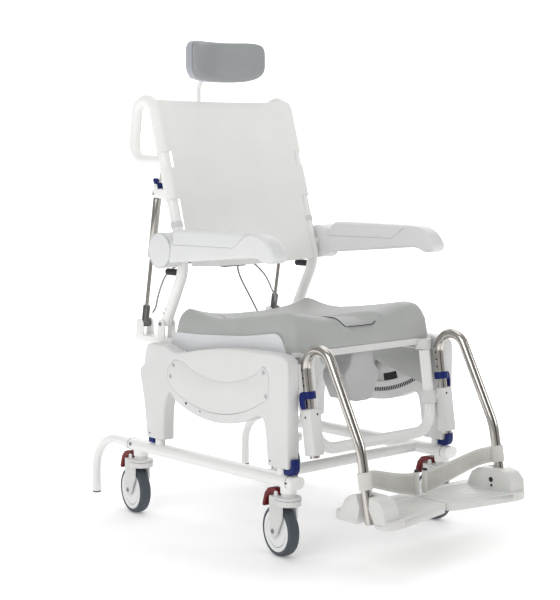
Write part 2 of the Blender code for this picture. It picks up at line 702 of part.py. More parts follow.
# Latches under the legs: each is pulled off its post to set the height
latch_bodies = {"front": {}, "rear": {}}
for row, leg_y in (("front", LEG_FRONT_Y), ("rear", LEG_REAR_Y)):
    for side_name, side in SIDES:
        name = "height_latch_" + row + "_" + side_name
        latch_point = (side * RAIL_X, leg_y, LEG_BOTTOM - 0.0085)
        latch_bodies[row][side_name] = new_body(name + "_slide", latch_point, chassis)
prong_start = LEG_FRONT_Y - POST_RADIUS - 0.0008
latch_front = LEG_FRONT_Y - 0.050
latch_bottom = LEG_BOTTOM - LATCH_HEIGHT + 0.0025
front_latch = union(
    box(
        (RAIL_X - LATCH_WIDTH / 2.0, latch_front, latch_bottom),
        (RAIL_X + LATCH_WIDTH / 2.0, prong_start, LEG_BOTTOM - FIT_GAP),
    ),
    box(
        (RAIL_X - LATCH_WIDTH / 2.0, latch_front, latch_bottom + 0.0005),
        (RAIL_X + LATCH_WIDTH / 2.0, latch_front + 0.011, LEG_BOTTOM + 0.0245),
    ),
)
front_latch = bevelled(front_latch, 0.0012)
place_pair(front_latch, "height_latch_front", blue_plastic, latch_bodies["front"])
rear_latch = box(
    (RAIL_X - LATCH_WIDTH / 2.0, LEG_REAR_Y + POST_RADIUS + 0.0008, latch_bottom),
    (RAIL_X + LATCH_WIDTH / 2.0, LEG_REAR_Y + 0.036, LEG_BOTTOM - FIT_GAP),
    0.0012,
)
place_pair(rear_latch, "height_latch_rear", blue_plastic, latch_bodies["rear"])

# Seat frame: two bars with clevises for the back, and two cross tubes
bar_outer = BACK_X + BACK_TUBE_RADIUS + TUBE_GAP + EAR_WALL
bar_inner = BACK_X - BACK_TUBE_RADIUS - TUBE_GAP - EAR_WALL
seat_bar = box(
    (BAR_INNER_X, SEAT_FRONT_Y + 0.030, BAR_BOTTOM - 0.004), (BAR_OUTER_X, SEAT_REAR_Y + 0.009, BAR_TOP)
)
seat_bar = union(
    seat_bar,
    box((bar_inner, SEAT_REAR_Y + 0.002, BAR_BOTTOM), (bar_outer, SPRING_LOW_Y + 0.018, BAR_TOP - 0.001)),
)
for pin_y, pin_z in ((RECLINE_Y, RECLINE_Z), (SPRING_LOW_Y, SPRING_LOW_Z)):
    ear_outline = [(pin_y - 0.018, BAR_BOTTOM + 0.006), (pin_y + 0.017, BAR_BOTTOM + 0.006)]
    ear_outline += [(pin_y + 0.013, pin_z + 0.003), (pin_y + 0.009, pin_z + 0.010), (pin_y, pin_z + 0.013)]
    ear_outline += [(pin_y - 0.009, pin_z + 0.010), (pin_y - 0.013, pin_z + 0.003)]
    seat_bar = union(seat_bar, plate(ear_outline, "YZ", bar_outer - EAR_WALL, bar_outer))
    seat_bar = union(seat_bar, plate(ear_outline, "YZ", bar_inner, bar_inner + EAR_WALL))
    ear_pin = rod((bar_inner + 0.001, pin_y, pin_z), (bar_outer - 0.001, pin_y, pin_z), RECLINE_PIN_RADIUS, 12)
    seat_bar = union(seat_bar, ear_pin)
seat_frame = union(copied(seat_bar, MIRROR), seat_bar)
tie_x = BAR_INNER_X + 0.009
tie_z = SEAT_PLATE_BOTTOM - TIE_DROP
for tie_y in (SEAT_FRONT_Y + 0.130, SEAT_REAR_Y - 0.061):
    seat_frame = union(seat_frame, rod((-tie_x, tie_y, tie_z), (tie_x, tie_y, tie_z), TIE_RADIUS, 12))
place(seat_frame, "seat_frame", white_paint, seat)

# Plates on the seat bars whose rollers run in the arc grooves
carrier_edge = [
    (-0.230, 0.076),
    (-0.232, 0.012),
    (-0.217, 0.010),
    (-0.048, 0.054),
    (-0.020, -0.009),
    (0.002, -0.016),
    (0.032, -0.014),
    (0.162, 0.021),
    (0.168, 0.036),
]
carrier_top = SEAT_PLATE_BOTTOM - 0.008
carrier_outline = [(TILT_Y - 0.208, carrier_top)]
carrier_outline += shifted(carrier_edge, TILT_Y, GROOVE_BOTTOM)
carrier_outline += [(TILT_Y + 0.182, carrier_top)]
carrier = plate(carrier_outline, "YZ", BAR_OUTER_X + FIT_GAP, BAR_OUTER_X + CARRIER_WALL)
carrier = bevelled(carrier, 0.0015, 1, 60.0)
for roller_angle in (2.0, 28.0):
    roller_y, roller_z = arc_points(axis_point, GROOVE_RADIUS, roller_angle, roller_angle, 1)[0]
    roller_start = BAR_OUTER_X + 0.005
    roller_end = SHELL_INNER_X + GROOVE_DEPTH - 0.0005
    roller = rod((roller_start, roller_y, roller_z), (roller_end, roller_y, roller_z), ROLLER_RADIUS, 16)
    carrier = union(carrier, roller)
place_pair(carrier, "tilt_carrier", grey_plastic, {"right": seat, "left": seat})

# Seat base: plate with the hygiene opening, side skirts, front lip and two collars for the front tube
front_collar = leaning(FRONT_TUBE_X, FRONT_TUBE_Y, FRONT_TUBE_Z, SEAT_PLATE_BOTTOM - 0.008)
plate_x = SEAT_HALF_WIDTH - SKIRT_WALL - 0.0015
lip_x = FRONT_TUBE_X + 0.007
seat_base = box((-plate_x, SEAT_FRONT_Y, SEAT_PLATE_BOTTOM), (plate_x, SEAT_REAR_Y, SEAT_PLATE_TOP))
lip = box(
    (-lip_x, SEAT_FRONT_Y + 0.0005, SEAT_PLATE_BOTTOM - 0.020),
    (lip_x, SEAT_FRONT_Y + 0.007, SEAT_PLATE_BOTTOM + 0.006),
)
seat_base = union(seat_base, lip)
skirt_edge = [
    (0.355, 0.0115),
    (0.235, 0.0185),
    (0.115, 0.0285),
    (0.067, 0.0345),
    (0.053, 0.0235),
    (0.049, 0.0015),
    (0.053, -0.0265),
]
for side in (-1.0, 1.0):
    skirt_edges = sorted((side * (SEAT_HALF_WIDTH - SKIRT_WALL - 0.0004), side * (SEAT_HALF_WIDTH - 0.0004)))
    skirt_outline = [(SEAT_REAR_Y, SKIRT_BOTTOM), (SEAT_REAR_Y, SEAT_PLATE_TOP + 0.0085)]
    skirt_outline += shifted(skirt_edge, SEAT_FRONT_Y, SEAT_PLATE_TOP)
    skirt_outline += [(SEAT_FRONT_Y + 0.063, SKIRT_BOTTOM)]
    seat_base = union(seat_base, plate(skirt_outline, "YZ", *skirt_edges))
    web_edges = sorted((side * (SEAT_HALF_WIDTH - 0.012), side * (SEAT_HALF_WIDTH - 0.002)))
    collar_low = (side * FRONT_TUBE_X, front_collar.y, SEAT_PLATE_BOTTOM - 0.018)
    collar_high = (side * FRONT_TUBE_X, front_collar.y, SEAT_PLATE_BOTTOM + 0.008)
    seat_base = union(
        seat_base,
        box(
            (web_edges[0], SEAT_FRONT_Y + 0.065, SEAT_PLATE_BOTTOM + 0.0015),
            (web_edges[1], SEAT_REAR_Y - 0.002, SEAT_PLATE_TOP - 0.0015),
        ),
        rod(collar_low, collar_high, FRONT_TUBE_RADIUS + 0.0045, 20),
    )
hole = [
    (OPENING_HALF_WIDTH * x, OPENING_Y + OPENING_HALF_LENGTH * y) for x, y in ring_points((0.0, 0.0), 1.0, 20)
]
seat_base = cut(seat_base, plate(hole, "XY", SEAT_PLATE_BOTTOM - 0.05, SEAT_PLATE_TOP + 0.05))
place(seat_base, "seat_base", light_plastic, seat)


def seat_height(x, y):
    # Height of the cushion's top: raised sides, thigh humps at the front.
    across = min(abs(x) / 0.16, 1.25) ** 2
    forward = ((SEAT_REAR_Y - y) / (SEAT_REAR_Y - SEAT_FRONT_Y)) ** 3
    return SEAT_PLATE_TOP + CUSHION_THICKNESS + 0.015 * across + 0.018 * forward + 0.017 * forward * across


def seat_body():
    bpy.ops.mesh.primitive_cube_add(size=2.0)
    obj = bpy.context.object
    shape = bmesh.new()
    shape.from_mesh(obj.data)
    bmesh.ops.subdivide_edges(shape, edges=shape.edges, cuts=4, use_grid_fill=True)
    length = (SEAT_REAR_Y - SEAT_FRONT_Y) / 2.0
    middle = (SEAT_REAR_Y + SEAT_FRONT_Y) / 2.0
    bottom = SEAT_PLATE_TOP + FIT_GAP
    for vertex in shape.verts:
        across, along, level = (math.copysign(abs(share) ** 0.45, share) for share in vertex.co)
        x = across * CUSHION_HALF_WIDTH
        y = middle + along * length
        rounding = max(abs(across), abs(along)) ** 8
        top = seat_height(x, y) - 0.012 * rounding
        vertex.co = (x, y, bottom + (top - bottom) * (level + 1.0) / 2.0)
    shape.to_mesh(obj.data)
    shape.free()
    modifier = obj.modifiers.new("soft", "SUBSURF")
    modifier.levels = 1
    modifier.render_levels = 1
    modifier.subdivision_type = "CATMULL_CLARK"
    return settle(obj)


def insert_outline(inset):
    points = []
    for step in range(13):
        angle = math.radians(180.0 * step / 12)
        half_width = INSERT_HALF_WIDTH - inset
        half_length = INSERT_HALF_LENGTH - inset
        points.append((half_width * math.cos(angle), OPENING_Y + half_length * math.sin(angle)))
    for back, narrower in ((0.135, 0.008), (0.085, 0.022), (0.045, 0.033), (-0.065, 0.036)):
        points.append((narrower - INSERT_HALF_WIDTH + inset, SEAT_FRONT_Y + back))
    return points + [(-x, y) for x, y in reversed(points[-4:])]


insert_body = new_body("seat_insert_lift", (0.0, OPENING_Y, SEAT_PLATE_TOP), seat)
cushion = cut(seat_body(), plate(insert_outline(0.0), "XY", BAR_BOTTOM, TILT_Z))
place(cushion, "seat_cushion", seat_foam, seat, 50.0)
insert = combine(seat_body(), [plate(insert_outline(0.0005), "XY", BAR_BOTTOM, TILT_Z)], "INTERSECT")
place(insert, "seat_insert", seat_foam, insert_body, 50.0)

# Splash guard under the front of the seat
guard_edge = [
    (0.034, -FIT_GAP),
    (0.040, -0.038),
    (0.060, -0.060),
    (0.060, -0.078),
    (0.036, -0.128),
    (0.020, -0.132),
]
guard_outline = shifted(guard_edge, 0.0, SEAT_PLATE_BOTTOM)
guard_outline += [(-x, z) for x, z in reversed(guard_outline)]
guard = bevelled(plate(guard_outline, "XZ", SEAT_FRONT_Y + 0.013, SEAT_FRONT_Y + 0.095), 0.003, 1, 30.0)
place(guard, "splash_guard", grey_plastic, seat)

# Front tube under the seat, with the legrest sleeves
tube_top = leaning(FRONT_TUBE_X, FRONT_TUBE_Y, FRONT_TUBE_Z, FRONT_TUBE_Z + 0.001)
tube_low = leaning(FRONT_TUBE_X, FRONT_TUBE_Y, FRONT_TUBE_Z, tube_top.z - FRONT_TUBE_LENGTH)
front_corners = [Vector((-point.x, point.y, point.z)) for point in (tube_top, tube_low)]
front_corners += [tube_low, tube_top]
front_path = rounded_path(front_corners, FRONT_TUBE_BEND, 4)
place(tube(front_path, FRONT_TUBE_RADIUS, 10), "front_frame_tube", white_paint, seat)

swing_foot = Vector((LEG_TUBE_X, SWING_Y, SWING_Z))


def on_leg(rise):
    return leaning(LEG_TUBE_X, SWING_Y, SWING_Z, SWING_Z + rise)


def on_front(rise):
    return leaning(FRONT_TUBE_X, FRONT_TUBE_Y, FRONT_TUBE_Z, SWING_Z + rise)


sleeve = rod(on_leg(0.0064), on_leg(0.1154), LEG_TUBE_RADIUS + TUBE_GAP + SLEEVE_WALL, 14)
clamp = rod(on_front(0.0764), on_front(0.1089), FRONT_TUBE_RADIUS + TUBE_GAP + SLEEVE_WALL, 14)
sleeve = union(sleeve, clamp, rod(on_leg(0.0944), on_front(0.0914), 0.0120, 10))
sleeve = cut(
    sleeve,
    rod(on_leg(-0.0156), on_leg(0.1544), LEG_TUBE_RADIUS + TUBE_GAP, 14),
    rod(on_front(0.0544), on_front(0.1544), FRONT_TUBE_RADIUS + TUBE_GAP, 14),
)
place_pair(sleeve, "legrest_sleeve", white_plastic, {"right": seat, "left": seat})

swing_bodies = {}
length_bodies = {}
foot_bodies = {}
for side_name, side in SIDES:
    swing_bodies[side_name] = new_body(
        "legrest_swing_" + side_name, (side * swing_foot.x, swing_foot.y, swing_foot.z), seat
    )
    length_bodies[side_name] = new_body(
        "legrest_length_" + side_name, (side * LEG_TUBE_X, SWING_Y, SWING_Z), swing_bodies[side_name]
    )
    foot_bodies[side_name] = new_body(
        "footplate_angle_" + side_name,
        (side * LEG_TUBE_X, FOOT_PIVOT_Y, FOOT_PIVOT_Z),
        length_bodies[side_name],
    )

clip_radius = LEG_TUBE_RADIUS + TUBE_GAP + 0.0050
clip = rod(on_leg(0.1160), on_leg(0.1564), clip_radius, 14)
clip_middle = on_leg(0.1374)
clip_lever = box(
    (LEG_TUBE_X - 0.004, clip_middle.y - clip_radius - 0.0074, SWING_Z + 0.1204),
    (LEG_TUBE_X + 0.013, clip_middle.y - clip_radius + 0.0061, SWING_Z + 0.1544),
    0.002,
)
clip = cut(union(clip, clip_lever), rod(on_leg(0.0944), on_leg(0.1744), LEG_TUBE_RADIUS + TUBE_GAP, 14))
place_pair(clip, "legrest_clip", blue_plastic, swing_bodies)

leg_knee = swing_foot + Vector((0.0, -0.1522, 0.0444))
leg_end = swing_foot + Vector((0.0, -0.1842, -0.1241))
leg_path = rounded_path(
    [
        swing_foot,
        swing_foot + Vector((0.0, 0.0405, 0.2579)),
        swing_foot + Vector((0.0, -0.0400, 0.2579)),
        swing_foot + Vector((0.0, -0.0922, 0.1584)),
    ],
    0.0448,
    5,
)[:-1]
leg_path += rounded_path([leg_path[-1], leg_knee, leg_end], 0.150, 3)[1:]
leg_tube = tube(leg_path, LEG_TUBE_RADIUS, 10)
foot_pin = rod(
    (LEG_TUBE_X - 0.0296, FOOT_PIVOT_Y, FOOT_PIVOT_Z),
    (LEG_TUBE_X, FOOT_PIVOT_Y, FOOT_PIVOT_Z),
    FOOT_PIN_RADIUS,
    12,
)
place_pair(union(leg_tube, foot_pin), "legrest_tube", steel, length_bodies)

# Footplates: a flat plate with a raised outer wall, slotted for the legrest tube
foot_edge = LEG_TUBE_X + 0.0144
foot_outline = [
    (0.004, FOOT_PIVOT_Y + 0.0965),
    (0.016, FOOT_REAR_Y),
    (foot_edge - 0.031, FOOT_REAR_Y),
    (foot_edge - 0.010, FOOT_REAR_Y - 0.006),
    (foot_edge, FOOT_REAR_Y - 0.022),
    (foot_edge, FOOT_FRONT_Y + 0.018),
    (foot_edge - 0.008, FOOT_FRONT_Y + 0.006),
    (foot_edge - 0.028, FOOT_FRONT_Y),
    (foot_edge - 0.056, FOOT_FRONT_Y + 0.002),
    (foot_edge - 0.136, FOOT_FRONT_Y + 0.018),
    (0.018, FOOT_FRONT_Y + 0.036),
    (0.004, FOOT_FRONT_Y + 0.048),
]
foot = plate(foot_outline, "XY", FOOT_TOP - FOOT_THICKNESS, FOOT_TOP)
wall_edge = [
    (0.0795, -0.010),
    (0.0735, 0.014),
    (0.0625, 0.034),
    (0.0445, 0.045),
    (0.0225, 0.049),
    (-0.0255, 0.049),
    (-0.0475, 0.043),
    (-0.0625, 0.026),
    (-0.0660, -0.010),
]
wall_outline = shifted(wall_edge, FOOT_PIVOT_Y, FOOT_TOP)
foot = union(foot, plate(wall_outline, "YZ", foot_edge - 0.050, foot_edge))
foot = bevelled(foot, 0.003, 1, 40.0)
slot_outline = []
slot_steps = ((-0.060, 0.036), (0.0, 0.0150), (0.050, 0.026))
for rise, half in slot_steps:
    slot_outline.append((FOOT_PIVOT_Y + 0.187 * rise - half, FOOT_PIVOT_Z + rise))
for rise, half in reversed(slot_steps):
    slot_outline.append((FOOT_PIVOT_Y + 0.187 * rise + half, FOOT_PIVOT_Z + rise))
foot = cut(foot, plate(slot_outline, "YZ", LEG_TUBE_X - LEG_TUBE_RADIUS - 0.0008, foot_edge + 0.05))
foot_bore = rod(
    (LEG_TUBE_X - 0.0304, FOOT_PIVOT_Y, FOOT_PIVOT_Z),
    (foot_edge + 0.05, FOOT_PIVOT_Y, FOOT_PIVOT_Z),
    FOOT_PIN_RADIUS + FIT_GAP,
    12,
)
foot = cut(foot, foot_bore)
place_pair(foot, "footplate", white_plastic, foot_bodies)

# Heel straps: a loop on each legrest tube and a band to the middle
loop_axis = (leg_knee - leg_end).normalized()
loop_middle = leg_knee + loop_axis * (FOOT_TOP + 0.0805 - leg_knee.z) / loop_axis.z
loop_half = loop_axis * STRAP_HALF_HEIGHT
strap_loop = cut(
    rod(loop_middle - loop_half, loop_middle + loop_half, LEG_TUBE_RADIUS + 0.0030, 14),
    rod(loop_middle - loop_half * 3.0, loop_middle + loop_half * 3.0, LEG_TUBE_RADIUS + TUBE_GAP, 14),
)
band_start = LEG_TUBE_X - 0.0138
peg_x = 0.0150
peg_y = FOOT_PIVOT_Y + 0.0535
band_steps = [
    (band_start, 0.0145, 0.0810),
    (LEG_TUBE_X - 0.0516, 0.0305, 0.0740),
    (LEG_TUBE_X - 0.0966, 0.0415, 0.0610),
    (0.0850, 0.0485, 0.0470),
    (0.0400, 0.0525, 0.0380),
    (peg_x + 0.0030, 0.0535, 0.0360),
]
band_line = [(x, FOOT_PIVOT_Y + y, FOOT_TOP + z) for x, y, z in band_steps]
band_mesh = bpy.data.meshes.new("strap_band")
band_shape = bmesh.new()
rows = []
for x, y, z in band_line:
    spread = STRAP_HALF_HEIGHT + 0.006 * (band_start + 0.0002 - x) / 0.20
    rows.append([band_shape.verts.new((x, y, z + level * spread)) for level in (-1.0, 0.0, 1.0)])
for first, second in zip(rows, rows[1:]):
    for low in (0, 1):
        band_shape.faces.new((first[low], second[low], second[low + 1], first[low + 1]))
band_shape.to_mesh(band_mesh)
band_shape.free()
strap_band = bpy.data.objects.new("strap_band", band_mesh)
bpy.context.scene.collection.objects.link(strap_band)
thicken = strap_band.modifiers.new("thick", "SOLIDIFY")
thicken.thickness = STRAP_THICKNESS
thicken.offset = 0.0
strap_band = settle(strap_band)
strap_peg = rod((peg_x, peg_y, FOOT_TOP + 0.009), (peg_x, peg_y, FOOT_TOP + 0.063), 0.0070, 12)
heel_strap = union(strap_loop, strap_band, strap_peg)
place_pair(heel_strap, "heel_strap", webbing, length_bodies)

# Back frame: two side tubes that turn over into push handles, and two cross tubes
middle_z = BACK_KNEE[1] + 0.135
handle_points = rounded_path(
    [
        (BACK_X, back_y(middle_z), middle_z),
        (BACK_X, back_y(HANDLE_TOP), HANDLE_TOP),
        (BACK_X, BACK_KNEE[0] + 0.209, HANDLE_TOP - 0.011),
        (BACK_X, BACK_KNEE[0] + 0.211, HANDLE_LOW),
        (BACK_X, BACK_KNEE[0] + 0.102, HANDLE_LOW),
    ],
    0.036,
    3,
)
knee = rounded_path(
    [(BACK_X, RECLINE_Y, RECLINE_Z), (BACK_X, *BACK_KNEE), (BACK_X, back_y(middle_z), middle_z)], 0.10, 3
)
side_tube = tube(knee[:-1] + handle_points, BACK_TUBE_RADIUS, 10)
handle_foot = rod(
    (BACK_X, back_y(HANDLE_LOW), HANDLE_LOW), (BACK_X, BACK_KNEE[0] + 0.109, HANDLE_LOW), 0.0130, 10
)
side_tube = union(side_tube, handle_foot)
side_tube = union(
    side_tube,
    rod((BACK_X, ARM_HUB_Y, ARM_HUB_Z), (ARM_INNER_X - FIT_GAP, ARM_HUB_Y, ARM_HUB_Z), 0.0110, 10),
)
for ear_x in (BACK_X - 0.0145, BACK_X + 0.0115):
    spring_ear = [
        (back_y(SPRING_TOP_Z) + 0.004, SPRING_TOP_Z - 0.014),
        (SPRING_TOP_Y + 0.006, SPRING_TOP_Z - 0.009),
        (SPRING_TOP_Y + 0.010, SPRING_TOP_Z),
        (SPRING_TOP_Y + 0.006, SPRING_TOP_Z + 0.011),
        (back_y(SPRING_TOP_Z) + 0.006, SPRING_TOP_Z + 0.013),
    ]
    side_tube = union(side_tube, plate(spring_ear, "YZ", ear_x, ear_x + 0.003))
side_tube = union(
    side_tube,
    rod((BACK_X - 0.013, SPRING_TOP_Y, SPRING_TOP_Z), (BACK_X + 0.013, SPRING_TOP_Y, SPRING_TOP_Z), 0.003, 10),
)
recline_bore = rod(
    (BACK_X - 0.03, RECLINE_Y, RECLINE_Z),
    (BACK_X + 0.03, RECLINE_Y, RECLINE_Z),
    RECLINE_PIN_RADIUS + FIT_GAP,
    12,
)
side_tube = cut(side_tube, recline_bore)
back_frame = union(copied(side_tube, MIRROR), side_tube)
for level, depth in ((LOW_CROSS_Z, LOW_CROSS_BOW), (TOP_CROSS_Z, TOP_CROSS_BOW)):
    bow = rounded_path(
        [
            (-BACK_X, back_y(level), level),
            (-BACK_X + 0.060, back_y(level) + depth, level),
            (BACK_X - 0.060, back_y(level) + depth, level),
            (BACK_X, back_y(level), level),
        ],
        0.04,
        2,
    )
    back_frame = union(back_frame, tube(bow, CROSS_RADIUS, 8))
bracket_y = back_y(TOP_CROSS_Z) + TOP_CROSS_BOW
bracket = box((-0.009, bracket_y, TOP_CROSS_Z - 0.009), (0.009, POST_Y, TOP_CROSS_Z + 0.009))
sleeve_radius = HEAD_POST_RADIUS + 0.005
post_sleeve = rod((0.0, POST_Y, TOP_CROSS_Z - 0.030), (0.0, POST_Y, TOP_CROSS_Z + 0.030), sleeve_radius, 12)
back_frame = union(back_frame, bracket, post_sleeve)
post_bore = rod(
    (0.0, POST_Y, TOP_CROSS_Z - 0.085), (0.0, POST_Y, TOP_CROSS_Z + 0.115), HEAD_POST_RADIUS + SLIDE_GAP, 10
)
back_frame = cut(back_frame, post_bore)
lever_lug = [
    (LEVER_Y - 0.009, SPRING_TOP_Z + 0.008),
    (LEVER_Y + 0.009, SPRING_TOP_Z + 0.008),
    (LEVER_Y + 0.005, LEVER_Z + 0.003),
    (LEVER_Y, LEVER_Z + 0.005),
    (LEVER_Y - 0.005, LEVER_Z + 0.003),
]
for lug_x in (-BACK_X - 0.0142, -BACK_X + 0.0118):
    back_frame = union(back_frame, plate(lever_lug, "YZ", lug_x, lug_x + 0.0024))
lever_pin = rod((-BACK_X - 0.013, LEVER_Y, LEVER_Z), (-BACK_X + 0.013, LEVER_Y, LEVER_Z), PIN_RADIUS, 8)
back_frame = union(back_frame, lever_pin)
place(back_frame, "back_frame", white_paint, back)

# Sling: a hung sheet that turns round the side tubes
sling_front = BACK_TUBE_RADIUS + 0.0025
wrap_steps = ((4, 6), (7, 10))
level_shares = [0.0, 0.036, 0.081, 0.126, 0.171, 0.211, 0.251, 0.291, 0.336, 0.376, 0.396, 0.426]
levels = [SLING_BOTTOM + SLING_HEIGHT * share / level_shares[-1] for share in level_shares]
normal = Vector((0.0, -1.0, BACK_SLOPE)).normalized()
sling_mesh = bpy.data.meshes.new("sling")
sling_shape = bmesh.new()
sling_rows = []
for level in levels:
    row = []
    centre = Vector((0.0, back_y(level), level))
    across = [-1.0, -0.80, -0.60, -0.40, -0.20, 0.0, 0.20, 0.40, 0.60, 0.80, 1.0]
    turns = (100.0, 60.0, 25.0)
    for turn in turns:
        angle = math.radians(turn)
        reach = Vector((-BACK_X - sling_front * math.sin(angle), 0.0, 0.0))
        row.append(sling_shape.verts.new(centre + reach + normal * sling_front * math.cos(angle)))
    for share in across:
        sag = SLING_SAG * (1.0 - share ** 2) * min(1.0, 0.55 + 0.9 * (SLING_TOP - level))
        spot = centre + Vector((share * BACK_X, 0.0, 0.0)) + normal * (sling_front - sag)
        row.append(sling_shape.verts.new(spot))
    for turn in reversed(turns):
        angle = math.radians(turn)
        reach = Vector((BACK_X + sling_front * math.sin(angle), 0.0, 0.0))
        row.append(sling_shape.verts.new(centre + reach + normal * sling_front * math.cos(angle)))
    sling_rows.append(row)
for step, (below, above) in enumerate(zip(sling_rows, sling_rows[1:])):
    wrapped = any(first_step <= step < last_step for first_step, last_step in wrap_steps)
    first = 0 if wrapped else 3
    last = len(below) - 1 if wrapped else len(below) - 4
    for column in range(first, last):
        sling_shape.faces.new((below[column], below[column + 1], above[column + 1], above[column]))
loose = [vertex for vertex in sling_shape.verts if not vertex.link_faces]
bmesh.ops.delete(sling_shape, geom=loose, context="VERTS")
sling_shape.to_mesh(sling_mesh)
sling_shape.free()
sling = bpy.data.objects.new("sling", sling_mesh)
bpy.context.scene.collection.objects.link(sling)
thicken = sling.modifiers.new("thick", "SOLIDIFY")
thicken.thickness = SLING_THICKNESS
thicken.offset = 0.0
place(settle(sling), "back_sling", sling_cloth, back, 50.0)

# Gas springs: the rod hinges on the seat bar, the cylinder slides on the rod
spring_low = Vector((BACK_X, SPRING_LOW_Y, SPRING_LOW_Z))
spring_top = Vector((BACK_X, SPRING_TOP_Y, SPRING_TOP_Z))
spring_axis = (spring_top - spring_low).normalized()
rod_bodies = {}
cylinder_bodies = {}
for side_name, side in SIDES:
    hinge_point = (side * BACK_X, SPRING_LOW_Y, SPRING_LOW_Z)
    rod_bodies[side_name] = new_body("spring_hinge_" + side_name, hinge_point, seat)
    cylinder_bodies[side_name] = new_body(
        "spring_slide_" + side_name, (side * BACK_X, SPRING_TOP_Y, SPRING_TOP_Z), rod_bodies[side_name]
    )
spring_rod = rod(spring_low, spring_low + spring_axis * 0.240, SPRING_ROD_RADIUS, 12)
spring_rod = union(
    spring_rod,
    rod(
        (BACK_X - 0.013, SPRING_LOW_Y, SPRING_LOW_Z), (BACK_X + 0.013, SPRING_LOW_Y, SPRING_LOW_Z), 0.0105, 12
    ),
    rod(spring_low + spring_axis * 0.006, spring_low + spring_axis * 0.048, 0.0098, 12),
)
spring_rod = cut(
    spring_rod,
    rod(
        (BACK_X - 0.03, SPRING_LOW_Y, SPRING_LOW_Z),
        (BACK_X + 0.03, SPRING_LOW_Y, SPRING_LOW_Z),
        RECLINE_PIN_RADIUS + FIT_GAP,
        12,
    ),
)
place_pair(spring_rod, "spring_rod", steel, rod_bodies)
cylinder = rod(spring_low + spring_axis * 0.180, spring_top - spring_axis * 0.012, CYLINDER_RADIUS, 12)
cylinder_bore = rod(
    spring_low + spring_axis * 0.150, spring_top - spring_axis * 0.040, SPRING_ROD_RADIUS + SLIDE_GAP, 12
)
cylinder = cut(cylinder, cylinder_bore)
eye = rod(
    (BACK_X - 0.0090, SPRING_TOP_Y, SPRING_TOP_Z), (BACK_X + 0.0090, SPRING_TOP_Y, SPRING_TOP_Z), 0.0125, 14
)
cylinder = cut(
    union(cylinder, eye),
    rod((BACK_X - 0.03, SPRING_TOP_Y, SPRING_TOP_Z), (BACK_X + 0.03, SPRING_TOP_Y, SPRING_TOP_Z), 0.0080, 12),
)
place_pair(cylinder, "spring_cylinder", white_paint, cylinder_bodies)

# Recline lever on the right spring bracket
lever_body = new_body("recline_lever_hinge", (-BACK_X, LEVER_Y, LEVER_Z), back)
lever_edge = [
    (-0.0060, -0.0070),
    (0.0060, -0.0080),
    (0.0130, 0.0),
    (0.0230, 0.0170),
    (0.0190, 0.0210),
    (0.0040, 0.0110),
    (-0.0050, 0.0060),
]
lever_outline = shifted(lever_edge, LEVER_Y, LEVER_Z)
lever = bevelled(plate(lever_outline, "YZ", -BACK_X - 0.0112, -BACK_X + 0.0112), 0.001)
lever_bore = rod(
    (-BACK_X - 0.03, LEVER_Y, LEVER_Z), (-BACK_X + 0.03, LEVER_Y, LEVER_Z), PIN_RADIUS + FIT_GAP, 8
)
lever = cut(lever, lever_bore)
place(lever, "recline_lever", blue_plastic, lever_body)

# Rubber stops behind the side tubes
stop_z = BACK_KNEE[1] - 0.015
stop = rod((BACK_X, BACK_KNEE[0], stop_z), (BACK_X, BACK_KNEE[0] + 0.072, stop_z), 0.0090, 16)
stop = bevelled(stop, 0.0015)
stop = cut(stop, tube(knee, BACK_TUBE_RADIUS + FIT_GAP, 10))
front_half = box(
    (BACK_X - 0.02, BACK_KNEE[0] - 0.046, stop_z - 0.05), (BACK_X + 0.02, BACK_KNEE[0] + 0.014, stop_z + 0.05)
)
place_pair(cut(stop, front_half), "stop_buffer", black_rubber, {"right": back, "left": back})

# Release unit under the lower cross tube, and its cables
unit_y = back_y(LOW_CROSS_Z) + LOW_CROSS_BOW
unit_top = LOW_CROSS_Z - CROSS_RADIUS - FIT_GAP
unit = box((-0.050, unit_y - 0.013, unit_top - 0.0277), (0.030, unit_y + 0.013, unit_top), 0.003)
place(unit, "release_unit", black_rubber, back)
cable_routes = {
    "recline_cable_right": [
        (-0.0508, unit_y, 0.668),
        (-0.0620, unit_y, 0.668),
        (-0.095, 0.276, 0.667),
        (-0.150, 0.300, 0.664),
        (-0.190, 0.318, 0.640),
        (-0.2085, 0.330, 0.590),
        (-0.2140, 0.338, 0.550),
        (-0.2165, 0.3480, 0.535),
    ],
    "recline_cable_left": [
        (0.0308, unit_y, 0.662),
        (0.0420, unit_y, 0.662),
        (0.078, 0.270, 0.650),
        (0.130, 0.288, 0.615),
        (0.180, 0.320, 0.575),
        (0.2060, 0.3340, 0.550),
        (0.2165, 0.3480, 0.535),
    ],
    "tilt_cable": [
        (0.010, unit_y, 0.6512),
        (0.010, unit_y, 0.6420),
        (0.022, 0.266, 0.615),
        (0.060, 0.270, 0.560),
        (0.092, 0.266, 0.505),
        (0.100, 0.246, 0.4720),
        (0.102, 0.205, 0.4650),
        (0.102, 0.1748, 0.4655),
    ],
}
for name, route in cable_routes.items():
    place(tube(soft_path(route, 3), 0.0024, 4), name, cable_grey, back, 80.0)

